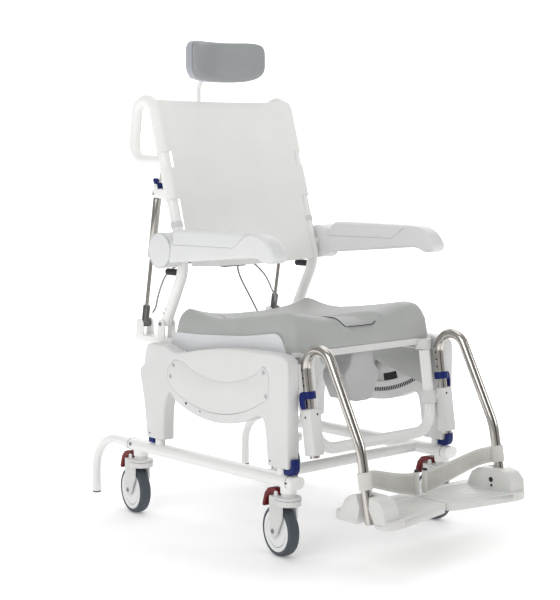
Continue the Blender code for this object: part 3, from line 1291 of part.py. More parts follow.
# Armrests: hub, arm and grip in one moulding, with a pad on top
arm_edge = [
    (-0.005, 0.0165),
    (-0.340, 0.0165),
    (-0.355, 0.0470),
    (-0.370, 0.0550),
    (-0.388, 0.0530),
    (-0.415, 0.0370),
    (-0.432, 0.0140),
    (-0.433, -0.0010),
    (-0.422, -0.0080),
    (-0.400, -0.0100),
    (-0.386, -0.0055),
    (-0.370, 0.0020),
    (-0.345, 0.0050),
    (-0.320, 0.0035),
    (-0.270, -0.0020),
    (-0.150, -0.0090),
    (-0.060, -0.0150),
    (-0.005, -0.0210),
]
arm_outline = shifted(arm_edge, ARM_HUB_Y, ARM_HUB_Z)
arm = bevelled(plate(arm_outline, "YZ", ARM_INNER_X + 0.003, ARM_OUTER_X), 0.0035, 1, 60.0)
hub = rod((ARM_INNER_X, ARM_HUB_Y, ARM_HUB_Z), (ARM_OUTER_X - 0.003, ARM_HUB_Y, ARM_HUB_Z), ARM_HUB_RADIUS, 20)
hub = bevelled(hub, 0.003)
arm_bodies = {
    name: new_body("armrest_hinge_" + name, (side * (ARM_INNER_X + 0.0205), ARM_HUB_Y, ARM_HUB_Z), back)
    for name, side in SIDES
}
place_pair(union(hub, arm), "armrest", light_plastic, arm_bodies)
pad_bottom = arm_edge[0][1] + FIT_GAP
pad_edge = [
    (-0.0540, pad_bottom),
    (-0.0540, 0.0450),
    (-0.0620, 0.0530),
    (-0.0800, 0.0560),
    (-0.3180, 0.0560),
    (-0.3280, 0.0530),
    (-0.3362, pad_bottom),
]
pad_outline = shifted(pad_edge, ARM_HUB_Y, ARM_HUB_Z)
pad = bevelled(plate(pad_outline, "YZ", ARM_INNER_X + 0.0005, ARM_OUTER_X), 0.006, 2, 60.0)
place_pair(pad, "armrest_pad", arm_foam, arm_bodies, 50.0)

# Headrest: a bent post in the sleeve and a hollowed pad
head_body = new_body("headrest_slide", (0.0, POST_Y, TOP_CROSS_Z), back)
head_path = rounded_path(
    [
        (0.0, POST_Y, TOP_CROSS_Z - 0.060),
        (0.0, POST_Y, HEADREST_Z - 0.062),
        (0.0, POST_Y - 0.033, HEADREST_Z - 0.019),
        (0.0, HEADREST_FRONT_Y + 0.058, HEADREST_Z - 0.007),
    ],
    0.020,
    3,
)
head_post = tube(head_path, HEAD_POST_RADIUS, 10)
clamp = rod((0.0, POST_Y - 0.018, HEADREST_Z - 0.029), (0.0, POST_Y - 0.046, HEADREST_Z - 0.013), 0.0110, 12)
handle = rod((0.0, POST_Y - 0.020, HEADREST_Z - 0.027), (0.0, POST_Y + 0.040, HEADREST_Z - 0.037), 0.0060, 10)
head_post = union(head_post, clamp, handle)
place(head_post, "headrest_post", white_paint, head_body)

bpy.ops.mesh.primitive_cube_add(size=2.0)
pad_object = bpy.context.object
pad_shape = bmesh.new()
pad_shape.from_mesh(pad_object.data)
bmesh.ops.subdivide_edges(pad_shape, edges=pad_shape.edges, cuts=2, use_grid_fill=True)
for vertex in pad_shape.verts:
    across, deep, level = (math.copysign(abs(share) ** 0.6, share) for share in vertex.co)
    bend = HEADREST_BEND * across ** 2
    taper = 1.0 - 0.22 * abs(across) ** 3
    vertex.co = (
        across * HEADREST_HALF_WIDTH,
        HEADREST_FRONT_Y + HEADREST_THICKNESS * (0.5 + 0.5 * deep * taper) + HEADREST_BEND - bend,
        HEADREST_Z + level * HEADREST_HEIGHT / 2.0 * taper,
    )
pad_shape.to_mesh(pad_object.data)
pad_shape.free()
soften = pad_object.modifiers.new("soft", "SUBSURF")
soften.levels = 1
soften.render_levels = 1
head_pad = settle(pad_object)
pocket = rod(
    (0.0, HEADREST_FRONT_Y + 0.054, HEADREST_Z - 0.0064),
    (0.0, POST_Y - 0.038, HEADREST_Z - 0.017),
    HEAD_POST_RADIUS + 0.0008,
    14,
)
head_pad = cut(head_pad, pocket)
place(head_pad, "headrest_pad", head_foam, head_body, 60.0)
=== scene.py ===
import json
import math

import bmesh
import bpy
from mathutils import Matrix, Vector


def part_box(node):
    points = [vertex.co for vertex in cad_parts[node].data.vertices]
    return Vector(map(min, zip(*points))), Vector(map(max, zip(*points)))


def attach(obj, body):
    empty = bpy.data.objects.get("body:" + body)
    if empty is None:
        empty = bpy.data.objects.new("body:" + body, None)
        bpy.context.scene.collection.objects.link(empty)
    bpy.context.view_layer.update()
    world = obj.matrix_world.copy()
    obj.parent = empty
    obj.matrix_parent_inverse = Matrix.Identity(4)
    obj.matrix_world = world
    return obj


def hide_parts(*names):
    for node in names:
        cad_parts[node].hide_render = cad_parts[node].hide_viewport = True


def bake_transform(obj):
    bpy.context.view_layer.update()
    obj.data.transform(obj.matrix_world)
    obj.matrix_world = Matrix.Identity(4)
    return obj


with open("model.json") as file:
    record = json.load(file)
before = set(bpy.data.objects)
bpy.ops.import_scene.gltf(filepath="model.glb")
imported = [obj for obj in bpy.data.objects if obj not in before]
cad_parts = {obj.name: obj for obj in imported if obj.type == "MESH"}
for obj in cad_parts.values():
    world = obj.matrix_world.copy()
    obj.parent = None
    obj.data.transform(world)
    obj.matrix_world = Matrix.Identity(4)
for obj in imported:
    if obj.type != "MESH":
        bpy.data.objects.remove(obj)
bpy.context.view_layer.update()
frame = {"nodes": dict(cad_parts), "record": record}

sides = (("right", -1.0), ("left", 1.0))
mirror = {side: Matrix.Diagonal((side, 1.0, 1.0, 1.0)) for sideName, side in sides}
bodyOf = {}
for bodyName, members in frame["record"]["behaviour"]["bodies"].items():
    for member in members:
        bodyOf[member] = bodyName
print("frame loaded,", len(frame["nodes"]), "nodes")


def pick(piece):
    if bpy.context.object and bpy.context.object.mode != "OBJECT":
        bpy.ops.object.mode_set(mode="OBJECT")
    bpy.ops.object.select_all(action="DESELECT")
    piece.select_set(True)
    bpy.context.view_layer.objects.active = piece
    return piece


def editAll(piece):
    pick(piece)
    bpy.ops.object.mode_set(mode="EDIT")
    bpy.ops.mesh.select_all(action="SELECT")


def leaveEdit():
    bpy.ops.object.mode_set(mode="OBJECT")


def useModifiers(piece):
    pick(piece)
    for modifier in list(piece.modifiers):
        bpy.ops.object.modifier_apply(modifier=modifier.name)
    return piece


def settle(piece):
    # place and size go into the mesh
    useModifiers(piece)
    bpy.ops.object.transform_apply(location=True, rotation=True, scale=True)
    return piece


def paint(piece, finish):
    piece.data.materials.clear()
    piece.data.materials.append(finish)
    for polygon in piece.data.polygons:
        polygon.material_index = 0
    return piece


def joinAll(shapes):
    pick(shapes[0])
    for shape in shapes[1:]:
        shape.select_set(True)
    if len(shapes) > 1:
        bpy.ops.object.join()
    return shapes[0]


def carry(piece, name, body, nodes=(), angle=35.0):
    settle(piece)
    bpy.ops.object.shade_smooth_by_angle(angle=math.radians(angle))
    piece.name = name
    piece.data.name = name
    if nodes:
        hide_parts(*nodes)
    if body:
        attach(piece, body)
    return piece


def bevelEdges(piece, width, segments=3, angle=40.0):
    if width > 0.0:
        edge = piece.modifiers.new("edges", "BEVEL")
        edge.width = width
        edge.segments = segments
        edge.limit_method = "ANGLE"
        edge.angle_limit = math.radians(angle)
        useModifiers(piece)
    return piece


def cutAway(piece, tool, operation="DIFFERENCE"):
    knife = piece.modifiers.new("cut", "BOOLEAN")
    knife.operation = operation
    knife.solver = "EXACT"
    knife.object = tool
    useModifiers(piece)
    bpy.data.objects.remove(tool, do_unlink=True)
    return piece


def addRod(start, end, radius, finish=None, rounding=0.0, vertices=32):
    start = Vector(start)
    end = Vector(end)
    along = end - start
    bpy.ops.object.select_all(action="DESELECT")
    bpy.ops.mesh.primitive_cylinder_add(
        vertices=vertices, radius=radius, depth=along.length,
        location=(start + end) / 2.0, rotation=along.to_track_quat("Z", "Y").to_euler())
    rod = settle(bpy.context.object)
    bevelEdges(rod, rounding, angle=60.0)
    return paint(rod, finish) if finish else rod


def crossRod(start, end, place, radius, finish=None, rounding=0.0, vertices=32):
    # a rod straight across the chair, from one x to the other at the (y, z) place
    return addRod((start, *place), (end, *place), radius, finish, rounding, vertices)


def addBlock(low, high, finish=None, rounding=0.0, segments=3):
    low = Vector(low)
    high = Vector(high)
    bpy.ops.object.select_all(action="DESELECT")
    bpy.ops.mesh.primitive_cube_add(size=1.0, location=(low + high) / 2.0, scale=high - low)
    block = settle(bpy.context.object)
    bevelEdges(block, rounding, segments=segments)
    return paint(block, finish) if finish else block


def newMesh(name, points, edges, faces):
    mesh = bpy.data.meshes.new(name)
    mesh.from_pydata(points, edges, faces)
    mesh.update()
    piece = bpy.data.objects.new(name, mesh)
    bpy.context.scene.collection.objects.link(piece)
    return piece


def outward(piece, merge=0.00001):
    editAll(piece)
    bpy.ops.mesh.remove_doubles(threshold=merge)
    bpy.ops.mesh.normals_make_consistent(inside=False)
    leaveEdit()
    return piece


def addPlate(outline, plane, low, high, finish=None, rounding=0.0, segments=4, angle=50.0):
    # an outline filled as one face, extruded across, its rims rounded
    across = "XYZ".index({"YZ": "X", "XZ": "Y", "XY": "Z"}[plane])
    move = [high - low if axis == across else 0 for axis in range(3)]
    points = [(*pair[:across], low, *pair[across:]) for pair in outline]
    plate = newMesh("plate", points, [], [list(range(len(points)))])
    editAll(plate)
    bpy.ops.mesh.extrude_region_move(TRANSFORM_OT_translate={"value": move})
    leaveEdit()
    outward(plate)
    bevelEdges(plate, rounding, segments=segments, angle=angle)
    return paint(plate, finish) if finish else plate


def softLine(points, steps=5, closed=True, sharp=()):
    # a smooth line through the points; sharp ones keep their corner
    points = [Vector(point) for point in points]
    count = len(points)
    line = []
    spans = count if closed else count - 1
    for index in range(spans):
        start = points[index]
        end = points[(index + 1) % count]
        before = points[(index - 1) % count] if closed or index > 0 else start * 2.0 - end
        after = points[(index + 2) % count] if closed or index + 2 < count else end * 2.0 - start
        if index in sharp:
            before = start * 2.0 - end
        if (index + 1) % count in sharp:
            after = end * 2.0 - start
        for step in range(steps):
            s = step / steps
            line.append(
                0.5 * (2.0 * start + (end - before) * s
                       + (2.0 * before - 5.0 * start + 4.0 * end - after) * s ** 2
                       + (3.0 * start - before - 3.0 * end + after) * s ** 3))
    if not closed:
        line.append(points[-1])
    return line


def flatLine(points, steps, sharp=()):
    # a smooth closed outline in one plane
    line = softLine([(a, b, 0.0) for a, b in points], steps=steps, sharp=sharp)
    return [(point.x, point.y) for point in line]


def bentLine(corners, radius, steps=10):
    # a run of straights whose inner corners are bent to the radius
    corners = [Vector(corner) for corner in corners]
    line = [corners[0]]
    for before, corner, after in zip(corners, corners[1:], corners[2:]):
        armIn = (before - corner).normalized()
        armOut = (after - corner).normalized()
        half = armIn.angle(armOut) / 2.0
        reach = radius / math.tan(half)
        centre = corner + (armIn + armOut).normalized() * radius / math.sin(half)
        first = corner + armIn * reach - centre
        last = corner + armOut * reach - centre
        sweep = math.pi - 2.0 * half
        for step in range(steps + 1):
            share = step / steps
            spoke = first * math.sin((1.0 - share) * sweep) + last * math.sin(share * sweep)
            line.append(centre + spoke / math.sin(sweep))
    line.append(corners[-1])
    return line


def addTube(points, radius, finish=None, ring=12):
    # a bevelled curve turned into a mesh; ring gives the fineness round the tube
    curve = bpy.data.curves.new("tube", "CURVE")
    curve.dimensions = "3D"
    curve.bevel_depth = radius
    curve.bevel_resolution = ring
    curve.use_fill_caps = True
    spline = curve.splines.new("POLY")
    spline.points.add(len(points) - 1)
    for spot, place in zip(spline.points, points):
        spot.co = (*place, 1.0)
    tube = bpy.data.objects.new("tube", curve)
    bpy.context.scene.collection.objects.link(tube)
    pick(tube)
    bpy.ops.object.convert(target="MESH")
    tube = bpy.context.object
    outward(tube)
    return paint(tube, finish) if finish else tube


def turnProfile(profile, finish, steps=72):
    # a closed loop of (radius, x) points turned about X
    points = [(x, 0.0, radius) for radius, x in profile]
    loop = [(index, (index + 1) % len(points)) for index in range(len(points))]
    wheel = newMesh("turned", points, loop, [])
    editAll(wheel)
    bpy.ops.mesh.spin(steps=steps, angle=math.tau, center=(0, 0, 0), axis=(1, 0, 0))
    leaveEdit()
    outward(wheel, merge=0.00002)
    return paint(wheel, finish)


def pieceName(node):
    words = node.split("_")
    return words[0] + "".join(word.capitalize() for word in words[1:]) + "Look"


def copyNode(node, finish, rounding=0.0, angle=35.0, segments=2, extras=()):
    # the CAD form, welded and with its edges broken, so that it shades as one moulding
    mesh = frame["nodes"][node].data.copy()
    piece = bpy.data.objects.new(node, mesh)
    bpy.context.scene.collection.objects.link(piece)
    editAll(piece)
    bpy.ops.mesh.remove_doubles(threshold=0.00003)
    bpy.ops.mesh.dissolve_limited(angle_limit=math.radians(1.5))
    leaveEdit()
    bevelEdges(piece, rounding, segments=segments)
    paint(piece, finish)
    return carry(joinAll([piece, *extras]), pieceName(node), bodyOf[node], [node],
                 angle=angle)


def moveMesh(piece, matrix):
    piece.data.transform(matrix)
    if matrix.determinant() < 0.0:
        piece.data.flip_normals()
    return piece


def linear(code):
    channels = []
    for start in (1, 3, 5):
        value = int(code[start:start + 2], 16) / 255.0
        channels.append(value / 12.92 if value <= 0.04045 else ((value + 0.055) / 1.055) ** 2.4)
    return (*channels, 1.0)


def addNode(tree, kind, settings=None, links=None):
    node = tree.nodes.new(kind)
    for key, value in (settings or {}).items():
        if key in node.inputs.keys() or isinstance(key, int):
            node.inputs[key].default_value = value
        else:
            setattr(node, key, value)
    for key, socket in (links or {}).items():
        tree.links.new(socket, node.inputs[key])
    return node


def newFinish(name, roughness, ior=1.5, metallic=0.0, coat=0.0):
    finish = bpy.data.materials.new(name)
    finish.use_nodes = True
    shader = finish.node_tree.nodes["Principled BSDF"]
    shader.inputs["Roughness"].default_value = roughness
    shader.inputs["IOR"].default_value = ior
    shader.inputs["Metallic"].default_value = metallic
    shader.inputs["Coat Weight"].default_value = coat
    place = addNode(finish.node_tree, "ShaderNodeTexCoord")
    return finish, finish.node_tree, shader, place.outputs["Object"]


def mottled(tree, shader, place, pale, deep, patchMm, rough, grainMm, bump, depthMm):
    # slow colour drift, uneven gloss and a fine relief, all at real sizes
    drift = addNode(tree, "ShaderNodeTexNoise", {"Scale": 1000.0 / patchMm, "Detail": 3.0},
                    {"Vector": place})
    blend = addNode(tree, "ShaderNodeMix", {"data_type": "RGBA", 6: linear(pale), 7: linear(deep)},
                    {"Factor": drift.outputs["Fac"]})
    tree.links.new(blend.outputs[2], shader.inputs["Base Color"])
    grain = addNode(tree, "ShaderNodeTexNoise", {"Scale": 1000.0 / grainMm, "Detail": 2.0},
                    {"Vector": place})
    gloss = addNode(tree, "ShaderNodeMapRange", {"To Min": rough - 0.06, "To Max": rough + 0.06},
                    {"Value": grain.outputs["Fac"]})
    tree.links.new(gloss.outputs["Result"], shader.inputs["Roughness"])
    relief = addNode(tree, "ShaderNodeBump", {"Strength": bump, "Distance": depthMm / 1000.0},
                     {"Height": grain.outputs["Fac"]})
    tree.links.new(relief.outputs["Normal"], shader.inputs["Normal"])
    return blend, grain, relief


def plainFinish(name, pale, deep, rough, grainMm, bump, depthMm, patchMm=60.0, ior=1.5, coat=0.0):
    finish, tree, shader, place = newFinish(name, rough, ior=ior, coat=coat)
    mottled(tree, shader, place, pale, deep, patchMm, rough, grainMm, bump, depthMm)
    return finish


# polyester powder coat on steel tube: satin white with a faint orange peel of about 2.5 mm
powderCoat = plainFinish("whitePowderCoat", "#F1F1EF", "#ECECEA", rough=0.32, grainMm=2.5, bump=0.10,
                         depthMm=0.05, patchMm=90.0, ior=1.52, coat=0.15)
# polypropylene mouldings: dull white, spark-eroded grain of 0.5 mm drawn at 1.2 mm to show
mouldedWhite = plainFinish("whiteMouldedPolypropylene", "#DDDDDC", "#D6D6D5", rough=0.45, grainMm=1.2,
                           bump=0.12, depthMm=0.05, patchMm=70.0, ior=1.49)
# the arms are the same kind of moulding, a shade cooler
mouldedArm = plainFinish("armMouldedPolypropylene", "#DFDFDF", "#D9DADA", rough=0.48, grainMm=1.2,
                         bump=0.12, depthMm=0.05, patchMm=70.0, ior=1.49)
# seat tray: light grey polypropylene with the same grain
mouldedTray = plainFinish("trayMouldedPolypropylene", "#E0E1E3", "#D7D9DB", rough=0.50, grainMm=1.2,
                          bump=0.14, depthMm=0.05, ior=1.49)
# glass-filled nylon of the track plates: mid grey and dry
greyNylon = plainFinish("greyGlassNylon", "#B9BBB9", "#AEB0AE", rough=0.56, grainMm=1.0, bump=0.20,
                        depthMm=0.05, patchMm=40.0, ior=1.53)
# bare nylon of the sling clips, and the paler glass-filled nylon of the splash guard
clipNylon = plainFinish("clipNylon", "#DADBDB", "#D2D3D3", rough=0.50, grainMm=1.0, bump=0.15, depthMm=0.05,
                        patchMm=30.0, ior=1.53)
paleNylon = plainFinish("paleGlassNylon", "#BFC0BF", "#B6B7B6", rough=0.52, grainMm=1.0, bump=0.18,
                        depthMm=0.05, patchMm=40.0, ior=1.53)
# dyed nylon of the pedals and latches: deep colour, slightly glossy
redNylon = plainFinish("redNylon", "#72060B", "#620509", rough=0.46, grainMm=1.4, bump=0.10, depthMm=0.04,
                       patchMm=25.0, ior=1.42)
blueNylon = plainFinish("blueNylon", "#031F6C", "#02185A", rough=0.46, grainMm=1.4, bump=0.10, depthMm=0.04,
                        patchMm=25.0, ior=1.36)
# thermoplastic rubber tread: slate grey and matt
slateRubber = plainFinish("slateRubberTread", "#4B525B", "#42484F", rough=0.60, grainMm=0.9, bump=0.22,
                          depthMm=0.06, patchMm=30.0, ior=1.52)
# wheel discs: white nylon, smooth from the mould
wheelNylon = plainFinish("wheelNylon", "#EFEFEF", "#E7E8E8", rough=0.42, grainMm=1.2, bump=0.10,
                         depthMm=0.04, patchMm=40.0, ior=1.53)
# black rubber of the buffers, caps and release unit: dull and fine-grained
blackRubber = plainFinish("blackRubber", "#202123", "#17181A", rough=0.62, grainMm=0.8, bump=0.22,
                          depthMm=0.06, patchMm=20.0, ior=1.52)
# holes and open joints, where hardly any light comes back
darkGap = plainFinish("shadowGap", "#2B2C2E", "#242527", rough=0.80, grainMm=1.0, bump=0.05, depthMm=0.02,
                      patchMm=20.0)
# painted shade: grey standing for the shade in fine groove lines and narrow gaps of a moulding; a paler grey
# for the hub's groove and the arm's slit
seamGrey = plainFinish("seamGroove", "#595B5D", "#4F5153", rough=0.75, grainMm=1.0, bump=0.05, depthMm=0.02,
                       patchMm=20.0)
ringGrey = plainFinish("hubGroove", "#C6C8C8", "#BDBFBF", rough=0.70, grainMm=1.0, bump=0.05, depthMm=0.02,
                       patchMm=20.0)
# extruded PVC cable sheath: smooth mid grey
cableSheath = plainFinish("greyPvcSheath", "#8D9092", "#7F8284", rough=0.45, grainMm=1.5, bump=0.10,
                          depthMm=0.04, patchMm=15.0, ior=1.53)
# footplate polypropylene, unfilled and slightly milky
milkyPlate = plainFinish("milkyPolypropylene", "#DBDBD8", "#D3D3D0", rough=0.40, grainMm=1.2, bump=0.14,
                         depthMm=0.05, patchMm=50.0, ior=1.49)
milkyPlate.node_tree.nodes["Principled BSDF"].inputs["Subsurface Weight"].default_value = 0.15
milkyPlate.node_tree.nodes["Principled BSDF"].inputs["Subsurface Scale"].default_value = 0.006


def foamSkin(name, pale, deep, rough):
    # integral-skin polyurethane: closed matt skin with a pebbled grain of about 2 mm
    finish, tree, shader, place = newFinish(name, rough)
    blend, grain, relief = mottled(tree, shader, place, pale, deep, patchMm=55.0, rough=rough, grainMm=1.6,
                                   bump=0.10, depthMm=0.08)
    pebble = addNode(tree, "ShaderNodeTexVoronoi", {"Scale": 1000.0 / 2.2, "feature": "DISTANCE_TO_EDGE"},
                     {"Vector": place})
    crease = addNode(tree, "ShaderNodeMapRange", {"From Max": 0.25}, {"Value": pebble.outputs["Distance"]})
    skin = addNode(tree, "ShaderNodeBump", {"Strength": 0.12, "Distance": 0.0002},
                   {"Height": crease.outputs["Result"], "Normal": relief.outputs["Normal"]})
    tree.links.new(skin.outputs["Normal"], shader.inputs["Normal"])
    return finish


# one foam in four dyes: the seat, the headrest and its band, and the arm pads
seatSkin = foamSkin("seatFoamSkin", "#B0B2B0", "#A8AAA8", rough=0.50)
headSkin = foamSkin("headFoamSkin", "#9C9FA0", "#929597", rough=0.48)
headBand = foamSkin("headBandSkin", "#ABAFB6", "#A2A6AD", rough=0.46)
armSkin = foamSkin("armFoamSkin", "#DEDFDF", "#D7D8D8", rough=0.50)


def brushedSteel(name, pale, deep, rough, stretch):
    # stainless tube, brushed along its run: fine scratches 0.3 mm wide drawn at 1 mm, stretched lengthways
    finish, tree, shader, place = newFinish(name, rough, metallic=1.0)
    run = addNode(tree, "ShaderNodeMapping", {"Scale": stretch}, {"Vector": place})
    scratch = addNode(tree, "ShaderNodeTexNoise", {"Scale": 1000.0, "Detail": 4.0},
                      {"Vector": run.outputs["Vector"]})
    tone = addNode(tree, "ShaderNodeMix", {"data_type": "RGBA", 6: linear(pale), 7: linear(deep)},
                   {"Factor": scratch.outputs["Fac"]})
    tree.links.new(tone.outputs[2], shader.inputs["Base Color"])
    gloss = addNode(tree, "ShaderNodeMapRange", {"To Min": rough - 0.08, "To Max": rough + 0.08},
                    {"Value": scratch.outputs["Fac"]})
    tree.links.new(gloss.outputs["Result"], shader.inputs["Roughness"])
    relief = addNode(tree, "ShaderNodeBump", {"Strength": 0.06, "Distance": 0.00005},
                     {"Height": scratch.outputs["Fac"]})
    tree.links.new(relief.outputs["Normal"], shader.inputs["Normal"])
    return finish


# bright leg tubes and springs; phosphated spring ends and zinc bolts have no lay
legSteel = brushedSteel("brushedStainless", "#CBC7C2", "#B4AFA9", rough=0.17, stretch=(1.0, 1.0, 0.04))
springSteel = brushedSteel("springSteel", "#C2BEB9", "#A6A29D", rough=0.19, stretch=(1.0, 1.0, 0.04))
darkSteel = brushedSteel("phosphatedSteel", "#7C7B79", "#62615F", rough=0.36, stretch=(1.0, 1.0, 1.0))
boltZinc = brushedSteel("zincBolt", "#A6A8AA", "#8A8C8E", rough=0.34, stretch=(1.0, 1.0, 1.0))


def wovenCloth(name, pale, deep, threadMm, rough):
    # coated polyester weave: threads of 0.6 mm drawn wider so that they show
    finish, tree, shader, place = newFinish(name, rough)
    shader.inputs["Sheen Weight"].default_value = 0.15
    threads = 1000.0 / threadMm / 20.0 * math.pi
    warp = addNode(tree, "ShaderNodeTexWave", {"bands_direction": "X", "Scale": threads}, {"Vector": place})
    weft = addNode(tree, "ShaderNodeTexWave", {"bands_direction": "Z", "Scale": threads}, {"Vector": place})
    weave = addNode(tree, "ShaderNodeMath", {"operation": "MULTIPLY"},
                    {0: warp.outputs["Fac"], 1: weft.outputs["Fac"]})
    drift = addNode(tree, "ShaderNodeTexNoise", {"Scale": 12.0, "Detail": 3.0}, {"Vector": place})
    shade = addNode(tree, "ShaderNodeMath", {"operation": "MULTIPLY_ADD", 1: 0.35},
                    {0: weave.outputs[0], 2: drift.outputs["Fac"]})
    tone = addNode(tree, "ShaderNodeMix", {"data_type": "RGBA", 6: linear(deep), 7: linear(pale)},
                   {"Factor": shade.outputs[0]})
    tree.links.new(tone.outputs[2], shader.inputs["Base Color"])
    relief = addNode(tree, "ShaderNodeBump", {"Strength": 0.25, "Distance": 0.0002},
                     {"Height": weave.outputs[0]})
    tree.links.new(relief.outputs["Normal"], shader.inputs["Normal"])
    return finish


# the sling: near-white coated polyester
slingWeave = wovenCloth("slingPolyesterWeave", "#EFEFEC", "#E7E7E4", threadMm=2.0, rough=0.85)
print("finishes made")

# camera at the photograph's viewpoint
cameraSet = {"aim": (0.0036, 0.088, 0.5731), "azimuth": -41.915, "elevation": 6.026, "distance": 3.995,
             "lens": 91.46}
turn = math.radians(cameraSet["azimuth"])
lift = math.radians(cameraSet["elevation"])
aim = Vector(cameraSet["aim"])
stand = aim + cameraSet["distance"] * Vector(
    (math.cos(lift) * math.sin(turn), -math.cos(lift) * math.cos(turn), math.sin(lift)))
bpy.ops.object.camera_add(location=stand, rotation=(aim - stand).to_track_quat("-Z", "Y").to_euler())
camera = bpy.context.object
camera.name = "photoCamera"
camera.data.sensor_fit = "VERTICAL"
camera.data.sensor_height = 36.0
camera.data.lens = cameraSet["lens"]
camera.data.clip_end = 60.0
bpy.context.scene.camera = camera

# white sweep: floor that curves up into the backdrop
sweepSet = {"half": 7.0, "back": 4.5, "height": 6.0, "bend": 1.6}
bpy.ops.object.select_all(action="DESELECT")
bpy.ops.mesh.primitive_plane_add(size=2.0, location=(0.0, 0.0, 0.0))
sweep = bpy.context.object
sweep.name = "studioSweep"
sweep.scale = (sweepSet["half"], sweepSet["back"], 1.0)
settle(sweep)
bpy.ops.object.mode_set(mode="EDIT")
bpy.ops.mesh.select_all(action="DESELECT")
leaveEdit()
for edge in sweep.data.edges:
    edge.select = all(sweep.data.vertices[index].co.y > sweepSet["back"] - 0.01 for index in edge.vertices)
bpy.ops.object.mode_set(mode="EDIT")
bpy.ops.mesh.select_mode(type="EDGE")
bpy.ops.mesh.extrude_region_move(TRANSFORM_OT_translate={"value": (0.0, 0.0, sweepSet["height"])})
leaveEdit()
bevelEdges(sweep, sweepSet["bend"], segments=12, angle=60.0)
bpy.ops.object.shade_smooth()
moveMesh(sweep, Matrix.Rotation(turn, 4, "Z"))
# matt paper sweep that glows as painted light: faint near the chair, rising to burnt-out white away from it
paper, tree, shader, place = newFinish("paperSweep", 0.9)
mottled(tree, shader, place, "#F5F5F5", "#F3F3F3", patchMm=400.0, rough=0.9, grainMm=3.0, bump=0.02,
        depthMm=0.05)
level = addNode(tree, "ShaderNodeMapping", {"Scale": (1.0, 1.0, 0.0)}, {"Vector": place})
away = addNode(tree, "ShaderNodeVectorMath", {"operation": "LENGTH"}, {0: level.outputs["Vector"]})
glow = addNode(tree, "ShaderNodeMapRange",
               {"From Min": 0.45, "From Max": 1.5, "To Min": 0.19, "To Max": 0.66},
               {"Value": away.outputs["Value"]})
tree.links.new(glow.outputs["Result"], shader.inputs["Emission Strength"])
shader.inputs["Emission Color"].default_value = (1.0, 1.0, 1.0, 1.0)
# the sweep has one face only: from behind, the chair shows through it
facing = addNode(tree, "ShaderNodeNewGeometry")
clear = addNode(tree, "ShaderNodeBsdfTransparent")
oneFaced = addNode(tree, "ShaderNodeMixShader", {},
                   {0: facing.outputs["Backfacing"], 1: shader.outputs[0], 2: clear.outputs[0]})
tree.links.new(oneFaced.outputs[0], tree.nodes["Material Output"].inputs["Surface"])
paint(sweep, paper)

# dark flag in front of the chair, which puts the dark streaks on its steel
flagSet = {"azimuth": -10.0, "distance": 4.0, "width": 1.7, "height": 3.4}
flag = addBlock((-flagSet["width"] / 2.0, -flagSet["distance"] - 0.02, 0.05),
                (flagSet["width"] / 2.0, -flagSet["distance"], flagSet["height"]))
flag.name = "darkFlag"
moveMesh(flag, Matrix.Rotation(math.radians(flagSet["azimuth"]), 4, "Z"))
# black felt: soaks up the light
paint(flag, plainFinish("blackFelt", "#101010", "#0C0C0C", rough=0.95, grainMm=2.0, bump=0.1, depthMm=0.1))
flag.visible_camera = False

# four softboxes round the chair and a dim room, so that steel shows streaks
lightSet = {
    "keyBox": {"place": (-3.4, -1.2, 2.6), "size": 2.4, "power": 52.0},
    "fillBox": {"place": (2.0, -3.2, 2.0), "size": 1.4, "power": 21.0},
    "topBox": {"place": (0.2, 0.5, 4.2), "size": 3.0, "power": 34.0},
    "rimBox": {"place": (3.2, 1.6, 2.4), "size": 2.0, "power": 18.0},
}
roomLevel = 0.42
for lightName, light in lightSet.items():
    spot = Vector(light["place"])
    bpy.ops.object.light_add(type="AREA", location=spot,
                             rotation=(aim - spot).to_track_quat("-Z", "Y").to_euler())
    lamp = bpy.context.object
    lamp.name = lightName
    lamp.data.size = light["size"]
    lamp.data.energy = light["power"]
room = bpy.context.scene.world or bpy.data.worlds.new("room")
bpy.context.scene.world = room
room.use_nodes = True
room.node_tree.nodes["Background"].inputs["Color"].default_value = (1.0, 1.0, 1.0, 1.0)
room.node_tree.nodes["Background"].inputs["Strength"].default_value = roomLevel
bpy.context.scene.view_settings.view_transform = "Standard"
print("camera, sweep and lights set")

# release cables from the unit under the back to the springs and the tilt
cableSet = {
    "radius": 0.0024,
    "hinge": ((0.0, 0.290, 0.560), (0.0, 0.270, 0.640)),
    "routes": {
        "recline_cable_right": [
            (-0.0508, 0.26525, 0.668), (-0.0620, 0.26525, 0.668), (-0.095, 0.276, 0.667),
            (-0.150, 0.300, 0.664), (-0.190, 0.318, 0.640), (-0.2085, 0.330, 0.590),
            (-0.2140, 0.338, 0.550), (-0.2165, 0.3480, 0.535)],
        "recline_cable_left": [
            (0.0308, 0.26525, 0.662), (0.0420, 0.26525, 0.662), (0.078, 0.270, 0.650), (0.130, 0.288, 0.615),
            (0.180, 0.320, 0.575), (0.2060, 0.3340, 0.550), (0.2165, 0.3480, 0.535)],
        "tilt_cable": [
            (0.010, 0.26525, 0.6512), (0.010, 0.26525, 0.6420), (0.022, 0.266, 0.615), (0.060, 0.270, 0.560),
            (0.092, 0.266, 0.505), (0.100, 0.246, 0.4720), (0.102, 0.205, 0.4650), (0.102, 0.1748, 0.4655)],
    },
}
for node, route in cableSet["routes"].items():
    line = softLine(route, closed=False)
    cable = addTube(line, cableSet["radius"], cableSheath, ring=4)
    carry(cable, pieceName(node), None, [node], angle=60.0)
    run = sum((end - start).length for start, end in zip(line, line[1:]))
    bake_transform(cable)
    print(node, "runs", round(run, 3), "m")
print("cables laid")

